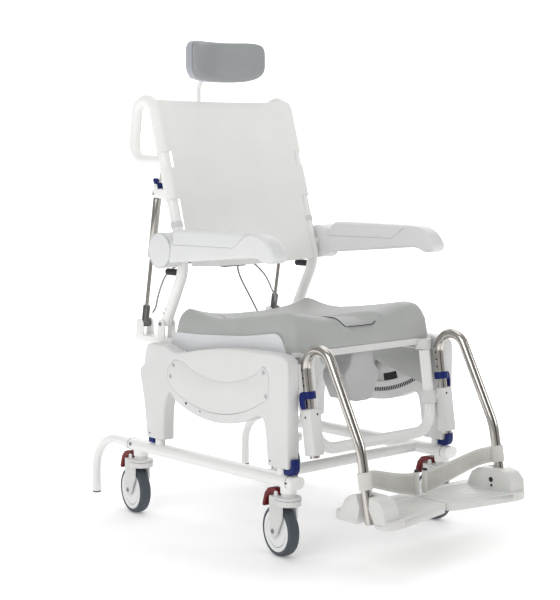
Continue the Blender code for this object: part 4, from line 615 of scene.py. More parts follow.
# base: rails, posts and cross tube keep their CAD form
copyNode("base_frame", powderCoat, rounding=0.0022, angle=40.0, segments=3)
railSet = {
    "x": 0.2695, "z": 0.187, "width": 0.046, "height": 0.030, "front": -0.278, "rear": 0.385,
    "capLine": {"inset": 0.020, "wide": 0.0008, "proud": 0.00012},
    "hole": (-0.262, 0.188), "bolt": (0.352, 0.190),
    "tipRear": 0.540, "tipLow": 0.028, "tipBend": 0.095, "tipRadius": 0.0115,
}


def ovalRing(x, y, wide, grow):
    # painted shade of a rail's end-cap seam: a thin grey ring round the oval
    ring = []
    half = railSet["height"] / 2.0 + grow
    shift = (railSet["width"] - railSet["height"]) / 2.0
    for step in range(40):
        angle = math.tau * step / 40
        push = shift if math.cos(angle) >= 0.0 else -shift
        ring.append((x + push + half * math.cos(angle), railSet["z"] + half * math.sin(angle)))
    return addPlate(ring, "XZ", y, y + wide, seamGrey)


for sideName, side in sides:
    x = side * railSet["x"]
    line = railSet["capLine"]
    trim = []
    for capY in (railSet["front"] + line["inset"], railSet["rear"] - line["inset"]):
        trim.append(ovalRing(x, capY, line["wide"], line["proud"]))
    outer = x + side * railSet["width"] / 2.0
    sunk = outer - side * 0.002
    # painted shade: a dark disc in the rail's hole
    trim.append(crossRod(sunk, outer + side * 0.0002, railSet["hole"], 0.0028, darkGap))
    # bolt head, with painted shade as the dark hexagon of its socket
    trim.append(crossRod(sunk, outer + side * 0.0010, railSet["bolt"], 0.0052, boltZinc, rounding=0.0005))
    trim.append(crossRod(outer, outer + side * 0.0011, railSet["bolt"], 0.0024, darkGap, vertices=6))
    carry(joinAll(trim), "railTrim" + sideName.capitalize(), "base")
    tipEnd = (x, railSet["tipRear"], railSet["tipLow"])
    tipLine = [(x, railSet["rear"] + 0.0003, railSet["z"]), (x, railSet["tipRear"], railSet["z"]), tipEnd]
    tip = [addTube(bentLine(tipLine, railSet["tipBend"], steps=16), railSet["tipRadius"], powderCoat)]
    tip.append(addRod((x, tipEnd[1], 0.0300), (x, tipEnd[1], 0.0255), railSet["tipRadius"] + 0.0002,
                      seamGrey, rounding=0.001))
    carry(joinAll(tip), "antiTipTube" + sideName.capitalize(), "base",
          ["anti_tip_tube_" + sideName], angle=40.0)
print("base finished")

# casters: turned wheel with a crowned tread, discs with rings of painted groove shade, and the fork's bolts
# with painted shade in their sockets
casterSet = {
    "rows": {"front": -0.247, "rear": 0.334}, "trail": 0.034, "turn": -9.0, "radius": 0.0625,
    "cheek": 0.0235, "crownSeamLineZ": 0.1442, "crownSeamLine": (0.0311, 0.0313, -0.0004, 0.0004), "axle": (0.0, 0.0),
    "ringFloor": 0.0130,
    "rings": ((0.0395, 0.0407, 0.0136, seamGrey), (0.0514, 0.0530, 0.0138, darkGap)),
}
halfTread = [(0.0528, -0.0142), (0.0534, -0.0152), (0.0552, -0.0155), (0.0578, -0.0149), (0.0600, -0.0134),
             (0.0615, -0.0108), (0.0623, -0.0070), (0.0625, -0.0030)]
treadLoop = halfTread + [(radius, -x) for radius, x in reversed(halfTread)]
treadLoop += [(0.0500, 0.0120), (0.0500, -0.0120)]
halfDisc = [(0.0054, -0.0128), (0.0130, -0.0128), (0.0136, -0.0140), (0.0392, -0.0143), (0.0396, -0.0134),
            (0.0406, -0.0134), (0.0410, -0.0144), (0.0512, -0.0146), (0.0516, -0.0136), (0.0527, -0.0136)]
discLoop = halfDisc + [(radius, -x) for radius, x in reversed(halfDisc)]


def ringProfile(inside, outside, low, high):
    # square section of a flat ring, as (radius, x) points
    return [(inside, low), (outside, low), (outside, high), (inside, high)]


for row, stemY in casterSet["rows"].items():
    for sideName, side in sides:
        tag = row + "_" + sideName
        title = row.capitalize() + sideName.capitalize()
        swivel = Matrix.Rotation(math.radians(casterSet["turn"]), 4, "Z")
        spot = Matrix.Translation((side * railSet["x"], stemY, 0.0)) @ swivel
        centre = Matrix.Translation((0.0, casterSet["trail"], casterSet["radius"]))
        wheel = [turnProfile(treadLoop, slateRubber), turnProfile(discLoop, wheelNylon)]
        for face in (-1.0, 1.0):
            for inside, outside, proud, finish in casterSet["rings"]:
                ring = ringProfile(inside, outside, face * proud, face * casterSet["ringFloor"])
                wheel.append(turnProfile(ring, finish))
        wheel = moveMesh(joinAll(wheel), spot @ centre)
        carry(wheel, "casterWheel" + title, "wheel_" + tag, ["caster_wheel_" + tag], angle=30.0)
        copyNode("caster_fork_" + tag, mouldedWhite, rounding=0.0014, angle=40.0)
        bolts = []
        axle = casterSet["axle"]
        for face in (-1.0, 1.0):
            cheek = face * casterSet["cheek"]
            bolts.append(crossRod(cheek - face * 0.001, cheek + face * 0.0016, axle, 0.0062, boltZinc,
                                  rounding=0.0006))
            bolts.append(crossRod(cheek, cheek + face * 0.0018, axle, 0.0030, darkGap, vertices=6))
        bolts = [moveMesh(joinAll(bolts), spot @ centre)]
        # painted shade: a thin grey ring for the seam line round the fork's crown
        crownSeamLine = turnProfile(ringProfile(*casterSet["crownSeamLine"]), seamGrey)
        upright = Matrix.Rotation(math.radians(90.0), 4, "Y")
        bolts.append(moveMesh(crownSeamLine, spot @ Matrix.Translation((0.0, 0.0, casterSet["crownSeamLineZ"])) @ upright))
        carry(joinAll(bolts), "forkFasteners" + title, "caster_" + tag)
        copyNode("brake_pedal_" + tag, redNylon, rounding=0.0012, angle=50.0)
print("casters finished")

# side frames: moulded legs and arch with soft rims, track groove inside and the crescent cover outside
shellSet = {
    "inner": 0.2505, "outer": 0.2885, "rim": 0.0060, "tilt": (0.008, 0.670), "arch": 0.375,
    "posts": (-0.2255, 0.250), "bore": (0.180, 0.415, 0.0134), "groove": (0.316, 0.021, 0.006),
    "grooveShade": (0.0098, -19.0, -10.0), "legFoot": 0.219,
    # each hole: its place, its radius and the x it runs from and to
    "holes": (((0.118, 0.329), 0.0036, 0.2875, 0.28865), ((0.062, 0.316), 0.0022, 0.2875, 0.28890),
              ((0.270, 0.232), 0.0024, 0.2870, 0.28865), ((-0.2015, 0.232), 0.0024, 0.2870, 0.28865)),
    "screws": ((0.168, 0.421), (0.181, 0.391), (-0.178, 0.441), (-0.187, 0.385)),
    "rack": {"radius": 0.3475, "start": -29.5, "pitch": 1.12, "count": 24, "wide": 0.0046, "tall": 0.0105},
    "rearLeg": [(0.285, 0.2185), (0.294, 0.297), (0.306, 0.352), (0.313, 0.385), (0.309, 0.400),
                (0.296, 0.412), (0.290, 0.440), (0.283, 0.458), (0.270, 0.467), (0.205, 0.467),
                (0.190, 0.462), (0.165, 0.4545), (0.135, 0.457)],
    "top": [(0.060, 0.471), (-0.020, 0.482), (-0.090, 0.487)],
    "frontLeg": [(-0.183, 0.489), (-0.235, 0.487), (-0.253, 0.480), (-0.2635, 0.462), (-0.264, 0.370),
                 (-0.2625, 0.2185), (-0.1905, 0.2185), (-0.187, 0.260), (-0.182, 0.300), (-0.174, 0.326)],
    "rearInside": [(0.186, 0.349), (0.204, 0.326), (0.211, 0.295), (0.214, 0.250), (0.2145, 0.2185)],
}


def arcLine(centre, radius, start, end, steps):
    # arc in degrees from straight down, towards the rear
    line = []
    for step in range(steps + 1):
        angle = math.radians(start + (end - start) * step / steps)
        line.append((centre[0] + radius * math.sin(angle), centre[1] - radius * math.cos(angle)))
    return line


shellLine = shellSet["rearLeg"] + shellSet["top"] + shellSet["frontLeg"]
shellLine += arcLine(shellSet["tilt"], shellSet["arch"], -26.0, 25.0, 8) + shellSet["rearInside"]
legCorners = [index for index, point in enumerate(shellLine) if point[1] < shellSet["legFoot"]]
shellLine = flatLine(shellLine, steps=5, sharp=legCorners)
coverLine = arcLine(shellSet["tilt"], 0.352, 28.5, -30.5, 16)
coverLine += [(-0.188, 0.374), (-0.197, 0.390), (-0.197, 0.432), (-0.188, 0.450), (-0.174, 0.455)]
coverLine += arcLine((-0.010, 0.700), 0.300, -29.0, 26.0, 14)
coverLine += [(0.150, 0.4355), (0.166, 0.4335), (0.186, 0.418), (0.192, 0.405), (0.192, 0.380)]
coverSmooth = flatLine(coverLine, steps=3)
middle = [sum(point[axis] for point in coverSmooth) / len(coverSmooth) for axis in (0, 1)]
coverShrink = (0.9955, 0.984)
coverInset = [[middle[axis] + (point[axis] - middle[axis]) * coverShrink[axis] for axis in (0, 1)]
              for point in coverSmooth]
grooveRadius, grooveWidth, grooveDepth = shellSet["groove"]
grooveLine = arcLine(shellSet["tilt"], grooveRadius - grooveWidth / 2.0, -35.5, 31.0, 24)
grooveLine += arcLine(shellSet["tilt"], grooveRadius + grooveWidth / 2.0, 31.0, -35.5, 24)
for sideName, side in sides:
    flip = mirror[side]
    inner = shellSet["inner"]
    outer = shellSet["outer"]
    shell = addPlate(shellLine, "YZ", inner, outer, mouldedWhite, rounding=shellSet["rim"], segments=5,
                     angle=60.0)
    cutAway(shell, addPlate(grooveLine, "YZ", inner - 0.01, inner + grooveDepth))
    cutAway(shell, addPlate(coverSmooth, "YZ", outer - 0.003, outer + 0.01))
    boreLow, boreHigh, boreRadius = shellSet["bore"]
    for legY in shellSet["posts"]:
        cutAway(shell, addRod((railSet["x"], legY, boreLow), (railSet["x"], legY, boreHigh), boreRadius))
    # painted shade: a grey plate deep in the cover's recess, which shows as a dark line round the cover
    floor = addPlate(coverSmooth, "YZ", outer - 0.0032, outer - 0.0028, seamGrey)
    shell = moveMesh(joinAll([shell, floor]), flip)
    carry(shell, "sideShell" + sideName.capitalize(), "chassis",
          ["side_shell_" + sideName], angle=32.0)
    cover = addPlate(coverInset, "YZ", outer - 0.0027, outer + 0.0002, mouldedWhite, rounding=0.0005,
                     segments=2)
    carry(moveMesh(cover, flip), "tiltCover" + sideName.capitalize(), "chassis",
          ["tilt_cover_" + sideName], angle=32.0)
    trim = []
    for screw in shellSet["screws"]:
        # painted shade as a grey ring round each, the domed head, and painted shade in its hexagon socket
        trim.append(crossRod(0.2880, 0.28885, screw, 0.0056, seamGrey))
        trim.append(crossRod(0.2880, 0.2893, screw, 0.0048, mouldedArm, rounding=0.0004))
        trim.append(crossRod(0.2890, 0.2894, screw, 0.0026, seamGrey, vertices=6))
    # painted shade: dark discs in the holes
    for hole, radius, sunk, proud in shellSet["holes"]:
        trim.append(crossRod(sunk, proud, hole, radius, darkGap))
    rack = shellSet["rack"]
    # painted shade: a dark box in each slot of the rack
    for step in range(rack["count"]):
        angle = math.radians(rack["start"] + rack["pitch"] * step)
        slot = addBlock((inner - 0.0003, -rack["wide"] / 2.0, -rack["tall"] / 2.0),
                        (inner + 0.001, rack["wide"] / 2.0, rack["tall"] / 2.0), darkGap)
        place = Matrix.Translation((0.0, shellSet["tilt"][0] + rack["radius"] * math.sin(angle),
                                    shellSet["tilt"][1] - rack["radius"] * math.cos(angle)))
        trim.append(moveMesh(slot, place @ Matrix.Rotation(angle, 4, "X")))
    # painted shade: a dark plate on the floor of the track groove, where shade falls behind the carrier
    grooveShadeHalf, grooveShadeStart, grooveShadeEnd = shellSet["grooveShade"]
    grooveShade = arcLine(shellSet["tilt"], grooveRadius - grooveShadeHalf, grooveShadeStart, grooveShadeEnd, 6)
    grooveShade += arcLine(shellSet["tilt"], grooveRadius + grooveShadeHalf, grooveShadeEnd, grooveShadeStart, 6)
    grooveShadeX = inner + grooveDepth
    trim.append(addPlate(grooveShade, "YZ", grooveShadeX - 0.0004, grooveShadeX + 0.001, darkGap))
    carry(moveMesh(joinAll(trim), flip), "shellTrim" + sideName.capitalize(), "chassis")

# height latches: a thumb tab in front of each front leg, a short pull behind each rear leg
for sideName, side in sides:
    node = "height_latch_front_" + sideName
    low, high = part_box(node)
    tab = [(high[1], low[2]), (high[1], 0.2180), (-0.2570, 0.2180), (-0.2640, 0.2215), (-0.2652, 0.2290),
           (-0.2650, high[2] - 0.003), (-0.2685, high[2]), (-0.2728, high[2] - 0.002), (low[1], 0.2330),
           (low[1], 0.2180), (-0.2715, low[2] + 0.005), (-0.2640, low[2])]
    tab = flatLine(tab, steps=4, sharp=(0, 1, 2))
    latch = addPlate(tab, "YZ", low[0] + 0.001, high[0] - 0.001, blueNylon, rounding=0.0026, segments=3,
                     angle=60.0)
    carry(latch, pieceName(node), node, [node], angle=40.0)
    copyNode("height_latch_rear_" + sideName, blueNylon, rounding=0.0015, angle=50.0)
print("side frames finished")

# seat structure: bars with the recline pivots' bolts, and the moulded tray
pivotSet = {"place": (0.275, 0.513), "bolt": (0.2440, 0.2505, 0.0048), "socket": (0.2495, 0.2507, 0.0022)}
pivotBolts = []
for side in (-1.0, 1.0):
    start, end, radius = pivotSet["bolt"]
    pivotBolts.append(crossRod(side * start, side * end, pivotSet["place"], radius, boltZinc,
                               rounding=0.0008))
    # painted shade in the bolt's hexagon socket
    start, end, radius = pivotSet["socket"]
    pivotBolts.append(crossRod(side * start, side * end, pivotSet["place"], radius, darkGap, vertices=6))
copyNode("seat_frame", powderCoat, rounding=0.0010, angle=40.0, extras=pivotBolts)
tray = copyNode("seat_base", mouldedTray, rounding=0.0012, angle=40.0)
lipCut = {"low": (-0.1845, -0.2600, 0.4400), "high": (0.1845, -0.2278, 0.4715), "front": -0.2275}
cutAway(tray, addBlock(lipCut["low"], lipCut["high"]))
# moulded skirts, whose front ends round off under the cushion's cheeks
skirtSet = {
    "inside": 0.2374, "outside": 0.2420, "rim": 0.0014,
    "line": [(0.2260, 0.4525), (0.2262, 0.4974), (0.1486, 0.4992), (0.0818, 0.5014), (0.0163, 0.5064),
             (-0.0476, 0.5124), (-0.1010, 0.5197), (-0.1490, 0.5272), (-0.1660, 0.5287), (-0.1788, 0.5261),
             (-0.1865, 0.5205), (-0.1918, 0.5138), (-0.1962, 0.5050), (-0.2000, 0.4970), (-0.2048, 0.4890),
             (-0.2075, 0.4800), (-0.2065, 0.4680), (-0.2000, 0.4580), (-0.1900, 0.4525)],
}
skirtLine = flatLine(skirtSet["line"], steps=3, sharp=(0, 1, 18))
skirts = [tray]
for side in (-1.0, 1.0):
    edge = sorted((side * skirtSet["inside"], side * skirtSet["outside"]))
    skirts.append(addPlate(skirtLine, "YZ", *edge, mouldedTray, rounding=skirtSet["rim"], segments=3))
joinAll(skirts)
bpy.ops.object.shade_smooth_by_angle(angle=math.radians(40.0))
tray.data.materials.append(mouldedWhite)
for polygon in tray.data.polygons:
    polygon.material_index = 1 if polygon.center.y < lipCut["front"] else 0
copyNode("splash_guard", paleNylon, rounding=0.0010, angle=25.0)
for sideName, side in sides:
    copyNode("tilt_carrier_" + sideName, greyNylon, rounding=0.0008, angle=40.0)

# seat: skinned foam on the tray, raised at the sides and the front corners, with a lift-out insert
seatSet = {
    "front": -0.236, "rear": 0.236, "half": 0.2400, "bottom": 0.4888, "block": 0.050, "crown": 0.027,
    "corner": 0.028, "opening": -0.030, "insertHalf": 0.112, "insertLength": 0.165, "gap": 0.0002,
    "voxel": 0.0030, "seam": 0.0011, "middle": 0.5335, "ridge": 0.5425, "rearRise": 0.0150,
    "frontRise": 0.0375, "roll": 0.011, "draft": 0.010,
    "cheek": {"low": 0.4600, "high": 0.5200, "inside": 0.2020, "behind": -0.1750},
    "flank": [(-0.112, -0.090), (-0.108, -0.140), (-0.102, -0.172), (-0.0935, -0.190), (-0.0855, -0.198),
              (-0.077, -0.2035), (-0.069, -0.2085), (-0.0625, -0.2125), (-0.0545, -0.2140),
              (-0.045, -0.2130)],
    "seamEnd": [(0.038, -0.2115), (0.047, -0.2118), (0.0545, -0.2110)],
    "rearSeam": [(-0.1290, 0.183), (-0.1400, 0.161), (-0.1570, 0.128), (-0.1780, 0.096), (-0.2000, 0.066)],
}


def ease(value, start, end):
    share = max(0.0, min(1.0, (value - start) / (end - start)))
    return share * share * (3.0 - 2.0 * share)


def seatTop(x, y):
    # ridges along the sides, two thigh pads with a valley between them, and a rolled front edge
    middle = seatSet["middle"] + 0.012 * ease(-y, 0.0, 0.16)
    ridge = seatSet["ridge"] + seatSet["rearRise"] * math.exp(-((y - 0.215) / 0.060) ** 2)
    ridge += seatSet["frontRise"] * max(0.0, (0.085 - y) / 0.28) ** 1.25
    rearShare = min((abs(x) / 0.215) ** 2.8, 1.0)
    frontShare = 0.55 * ease(abs(x), 0.035, 0.085) + 0.45 * ease(abs(x), 0.100, 0.210)
    forward = max(0.0, min(1.0, (0.1 - y) / 0.3))
    share = rearShare + (frontShare - rearShare) * forward
    roll = seatSet["roll"] * max(0.0, (-0.165 - y) / 0.05) ** 2
    return middle + (ridge - middle) * share - roll


def insertLine(inset):
    line = []
    for step in range(37):
        angle = math.radians(180.0 * step / 36)
        line.append(((seatSet["insertHalf"] - inset) * math.cos(angle),
                     seatSet["opening"] + (seatSet["insertLength"] - inset) * math.sin(angle)))
    for x, y in seatSet["flank"]:
        line.append((x + inset, y + inset))
    return line + [(-x - inset, y + inset) for x, y in reversed(seatSet["flank"])]


def seatCutter(inset):
    return addPlate(insertLine(inset), "XY", 0.44, 0.62)


def roundedBlock(low, high, crown):
    # block with rounded upright corners and, where asked, a rolled top edge
    block = addBlock((-seatSet["half"], seatSet["front"], low), (seatSet["half"], seatSet["rear"], high))
    for wanted, offset in (("upright", seatSet["corner"]), ("top", crown)):
        if offset == 0.0:
            continue
        pick(block)
        bpy.ops.object.mode_set(mode="EDIT")
        bpy.ops.mesh.select_mode(type="EDGE")
        bpy.ops.mesh.select_all(action="DESELECT")
        leaveEdit()
        for edge in block.data.edges:
            ends = [block.data.vertices[index].co for index in edge.vertices]
            rise = abs(ends[0].z - ends[1].z)
            edge.select = rise > 0.01 if wanted == "upright" else min(ends[0].z, ends[1].z) > high - 0.001
        bpy.ops.object.mode_set(mode="EDIT")
        bpy.ops.mesh.bevel(offset=offset, segments=10, affect="EDGES")
        leaveEdit()
    return outward(block)


def seatForm():
    # whole seat in one skin: block with its two front cheeks, then drawn up to the seat's heights
    cheek = seatSet["cheek"]
    shapes = [roundedBlock(seatSet["bottom"], seatSet["bottom"] + seatSet["block"], seatSet["crown"])]
    for low, high in ((-seatSet["half"], -cheek["inside"]), (cheek["inside"], seatSet["half"])):
        corner = addBlock((low - 0.01, seatSet["front"] - 0.01, cheek["low"] - 0.01),
                          (high + 0.01, cheek["behind"], cheek["high"]))
        whole = roundedBlock(cheek["low"], cheek["high"], 0.0)
        shapes.append(cutAway(whole, corner, "INTERSECT"))
    form = joinAll(shapes)
    grid = form.modifiers.new("grid", "REMESH")
    grid.mode = "VOXEL"
    grid.voxel_size = seatSet["voxel"]
    even = form.modifiers.new("even", "SMOOTH")
    even.factor = 0.5
    even.iterations = 4
    useModifiers(form)
    for vertex in form.data.vertices:
        rise = vertex.co.z - seatSet["bottom"]
        if rise > 0.0:
            tall = seatTop(vertex.co.x, vertex.co.y) - seatSet["bottom"]
            vertex.co.z = seatSet["bottom"] + rise / seatSet["block"] * tall
            # the walls lean in towards the top
            lean = seatSet["draft"] * rise / seatSet["block"]
            vertex.co.x *= 1.0 - lean / seatSet["half"]
            vertex.co.y *= 1.0 - lean / seatSet["half"]
    return form


def crownTop(x, y):
    # height of the rolled rim: less towards the front edge, where the crown falls away
    depth = min(max(y - seatSet["front"] - 0.8 * seatSet["draft"], 0.0), seatSet["crown"])
    drop = seatSet["crown"] - math.sqrt(seatSet["crown"] ** 2 - (seatSet["crown"] - depth) ** 2)
    tall = seatTop(x, y) - seatSet["bottom"]
    return seatSet["bottom"] + (1.0 - drop / seatSet["block"]) * tall


def seamTube(points, radius, sink):
    # painted shade: a dark line sunk into the skin where two foam parts meet
    line = [Vector((x, y, crownTop(x, y) - sink)) for x, y in points]
    return addTube(softLine(line, steps=3, closed=False), radius, darkGap, ring=3)


seatWhole = seatForm()
insert = seatWhole.copy()
insert.data = seatWhole.data.copy()
bpy.context.collection.objects.link(insert)
cushion = paint(cutAway(seatWhole, seatCutter(0.0)), seatSkin)
carry(cushion, "seatCushion", "seat", ["seat_cushion"], angle=60.0)
insert = paint(cutAway(insert, seatCutter(seatSet["gap"]), "INTERSECT"), seatSkin)
carry(insert, "seatInsert", "seat_insert", ["seat_insert"], angle=60.0)
tongue = seatSet["flank"][2:] + seatSet["seamEnd"]
seams = [seamTube(tongue, seatSet["seam"], 0.0006), seamTube(seatSet["rearSeam"], 0.0009, -0.0004)]
carry(joinAll(seams), "seatSeams", "seat", angle=60.0)
print("seat finished")

# legrests: bent stainless tubes in white sleeves with blue clips
legSet = {
    "x": 0.2316, "radius": 0.0122, "lean": 0.157, "foot": (-0.2978, 0.2456), "knee": (-0.450, 0.290),
    "end": (-0.4817, 0.1215), "top": [(-0.2573, 0.5035), (-0.3378, 0.5035), (-0.3900, 0.4040)],
    "topBend": 0.0448, "kneeBend": 0.150, "pivot": (-0.4745, 0.160), "screw": (-0.4765, 0.146),
    "sleeve": 0.0174, "sleeveRise": (0.0065, 0.1168), "clipRise": (0.1400, 0.1575),
    "holes": (0.170, 0.188, 0.206),
    "ribs": {"count": 10, "first": -0.5270, "pitch": 0.0145, "reach": (0.020, 0.190), "z": 0.1378},
}


def onLeg(rise):
    return (legSet["x"], legSet["foot"][0] + legSet["lean"] * rise, legSet["foot"][1] + rise)


frontSet = {"x": 0.203, "top": (-0.2418, 0.457), "low": (-0.2736, 0.255), "bend": 0.060, "radius": 0.014}
frontCorners = [(-frontSet["x"], *frontSet[key]) for key in ("top", "low")]
frontCorners += [(frontSet["x"], *frontSet[key]) for key in ("low", "top")]
frontTube = addTube(bentLine(frontCorners, frontSet["bend"], steps=14), frontSet["radius"], powderCoat)
carry(frontTube, "frontFrameTube", "seat", ["front_frame_tube"], angle=40.0)
for sideName, side in sides:
    flip = mirror[side]
    leg = [(legSet["x"], *legSet["foot"])] + [(legSet["x"], *point) for point in legSet["top"]]
    upper = bentLine(leg, legSet["topBend"], steps=16)[:-1]
    kneeSpot = Vector((legSet["x"], *legSet["knee"]))
    endSpot = Vector((legSet["x"], *legSet["end"]))
    lower = bentLine([upper[-1], kneeSpot, endSpot], legSet["kneeBend"])
    tube = [addTube(upper + lower[1:], legSet["radius"], legSteel, ring=14)]
    tube.append(crossRod(0.2020, legSet["x"], legSet["pivot"], 0.0040, legSteel, rounding=0.0004,
                         vertices=20))
    # painted shade: dark discs in the tube's holes and at its end
    holeHalf = legSet["radius"] + 0.00006
    for rise in legSet["holes"]:
        holeX, *holePlace = onLeg(rise)
        tube.append(crossRod(holeX - holeHalf, holeX + holeHalf, holePlace, 0.0026, darkGap, vertices=16))
    down = (endSpot - kneeSpot).normalized()
    tube.append(addRod(endSpot - down * 0.001, endSpot + down * 0.0005, 0.0110, darkGap))
    carry(moveMesh(joinAll(tube), flip), "legrestTube" + sideName.capitalize(), "legrest_" + sideName,
          ["legrest_tube_" + sideName], angle=40.0)
    # square white sleeve round the tube, with painted shade in its locking holes
    footY, footZ = legSet["foot"]
    tilt = Matrix.Translation((0.0, footY, footZ)) @ Matrix.Rotation(-math.atan(legSet["lean"]), 4, "X")
    half = legSet["sleeve"]
    sleeveLow, sleeveHigh = legSet["sleeveRise"]
    legX = legSet["x"]
    grip = addBlock((legX - half, -half, sleeveLow), (legX + half, half, sleeveHigh), mouldedWhite,
                    rounding=0.0045, segments=4)
    cutAway(grip, addRod((legX, 0.0, -0.05), (legX, 0.0, 0.20), 0.0130))
    holeX = legX - 0.006
    frontHole = addRod((holeX, -half - 0.0002, 0.103), (holeX, -half + 0.002, 0.103), 0.0028, darkGap)
    sideHole = crossRod(legX + half - 0.002, legX + half + 0.0002, (0.0, 0.098), 0.0028, darkGap)
    copyNode("legrest_sleeve_" + sideName, mouldedWhite, rounding=0.0008, angle=40.0,
             extras=[moveMesh(shape, flip @ tilt) for shape in (grip, frontHole, sideHole)])
    # blue clip: a band round the tube and a thumb lever on its outer side
    clipLow, clipHigh = legSet["clipRise"]
    band = addRod((legX, 0.0, clipLow), (legX, 0.0, clipHigh), 0.0176, blueNylon, rounding=0.0012,
                  vertices=40)
    cutAway(band, addRod((legX, 0.0, 0.10), (legX, 0.0, 0.20), 0.0129, vertices=40))
    lever = [(0.0150, 0.1565), (0.0205, 0.1560), (0.0238, 0.1505), (0.0250, 0.1400), (0.0246, 0.1280),
             (0.0222, 0.1185), (0.0192, 0.1180), (0.0200, 0.1290), (0.0196, 0.1385), (0.0150, 0.1420)]
    lever = flatLine([(legX + a, b) for a, b in lever], steps=4, sharp=(0, 9))
    lever = addPlate(lever, "XZ", -0.0075, 0.0075, blueNylon, rounding=0.0012, segments=3, angle=60.0)
    clip = moveMesh(joinAll([band, lever]), flip @ tilt)
    node = "legrest_clip_" + sideName
    carry(clip, pieceName(node), node, [node], angle=40.0)
    # footplate with grip ribs on top, and painted shade as dark discs on the heads of the pivot and its
    # screw inside the wall
    ribSet = legSet["ribs"]
    ribs = []
    for step in range(ribSet["count"]):
        rib = (ribSet["first"] + ribSet["pitch"] * step, ribSet["z"])
        ribs.append(crossRod(*ribSet["reach"], rib, 0.0011, milkyPlate, vertices=10))
    ribs.append(crossRod(0.1945, 0.1964, legSet["pivot"], 0.0062, darkGap, rounding=0.0005))
    ribs.append(crossRod(0.1945, 0.1961, legSet["screw"], 0.0032, darkGap))
    copyNode("footplate_" + sideName, milkyPlate, rounding=0.0010, angle=50.0,
             extras=[moveMesh(rib, flip) for rib in ribs])
print("legrests finished")

# heel straps: a webbing loop round each tube and a band to a capped peg
strapSet = {
    "half": 0.020, "flare": 0.006, "thick": 0.0022, "loopZ": 0.2185, "peg": (0.0150, -0.4210),
    "pegZ": (0.147, 0.201),
    "band": [(0.2178, -0.4600, 0.2190), (0.1800, -0.4440, 0.2120), (0.1350, -0.4330, 0.1990),
             (0.0850, -0.4260, 0.1850), (0.0400, -0.4220, 0.1760), (0.0180, -0.4210, 0.1740)],
}
# open mesh webbing with closely woven hems
webbing = wovenCloth("meshWebbing", "#D4D2CC", "#A19F9A", threadMm=3.0, rough=0.85)
webHem = wovenCloth("webbingHem", "#D6D5D0", "#C2C1BB", threadMm=1.2, rough=0.85)


def strapSpread(x):
    # half width of the band, which widens towards its peg
    return strapSet["half"] + strapSet["flare"] * (0.218 - x) / 0.20


for sideName, side in sides:
    flip = mirror[side]
    run = softLine(strapSet["band"], steps=8, closed=False)
    points = []
    for place in run:
        spread = strapSpread(place.x)
        points += [(place.x, place.y, place.z + spread * (level / 4.0 - 1.0)) for level in range(9)]
    faces = []
    for index in range(len(run) - 1):
        for level in range(8):
            first = index * 9 + level
            faces.append((first, first + 9, first + 10, first + 1))
    band = newMesh("band", points, [], faces)
    wall = band.modifiers.new("wall", "SOLIDIFY")
    wall.thickness = strapSet["thick"]
    wall.offset = 0.0
    useModifiers(band)
    outward(band)
    band.data.materials.append(webbing)
    band.data.materials.append(webHem)
    for polygon in band.data.polygons:
        place = min(run, key=lambda spot: abs(spot.x - polygon.center.x))
        spread = strapSpread(place.x)
        polygon.material_index = 1 if abs(polygon.center.z - place.z) > spread * 0.74 else 0
    knee = Vector((legSet["x"], *legSet["knee"]))
    axis = (knee - Vector((legSet["x"], *legSet["end"]))).normalized()
    mid = knee + axis * (strapSet["loopZ"] - knee.z) / axis.z
    loop = addRod(mid - axis * 0.020, mid + axis * 0.020, 0.0158, webHem, rounding=0.0008, vertices=40)
    cutAway(loop, addRod(mid - axis * 0.06, mid + axis * 0.06, 0.0130, vertices=40))
    pegX, pegY = strapSet["peg"]
    low, high = strapSet["pegZ"]
    peg = addRod((pegX, pegY, low), (pegX, pegY, high), 0.0074, webHem, rounding=0.001)
    cap = addRod((pegX, pegY, high - 0.001), (pegX, pegY, high + 0.005), 0.0056, blackRubber,
                 rounding=0.0012)
    ends = moveMesh(joinAll([loop, peg, cap]), flip)
    carry(ends, "heelStrapEnds" + sideName.capitalize(), "legrest_" + sideName,
          ["heel_strap_" + sideName], angle=45.0)
    strap = moveMesh(band, flip)
    carry(strap, "heelStrap" + sideName.capitalize(), "legrest_" + sideName,
          ["heel_strap_" + sideName], angle=45.0)
print("straps finished")

# back: bent tubes that turn over into push handles, bowed cross tubes, spring ears and the lever's lugs
backSet = {
    "x": 0.228, "radius": 0.0145, "slope": 0.29, "recline": pivotSet["place"], "knee": (0.196, 0.665),
    "kneeBend": 0.10, "handleTop": 1.097, "handleLow": 0.936, "handleBend": 0.042, "armPin": (0.210, 0.711),
    "springTop": (0.307, 0.851), "springLow": (0.367, 0.507), "lever": (0.299, 0.872), "postY": 0.418,
    "lowCross": (0.690, 0.062), "highCross": (0.985, 0.050), "clips": (0.766, 0.780),
    "bolts": ((0.2542, 0.553), (0.2604, 0.541)),
}


def backY(height):
    return backSet["knee"][0] + backSet["slope"] * (height - backSet["knee"][1])


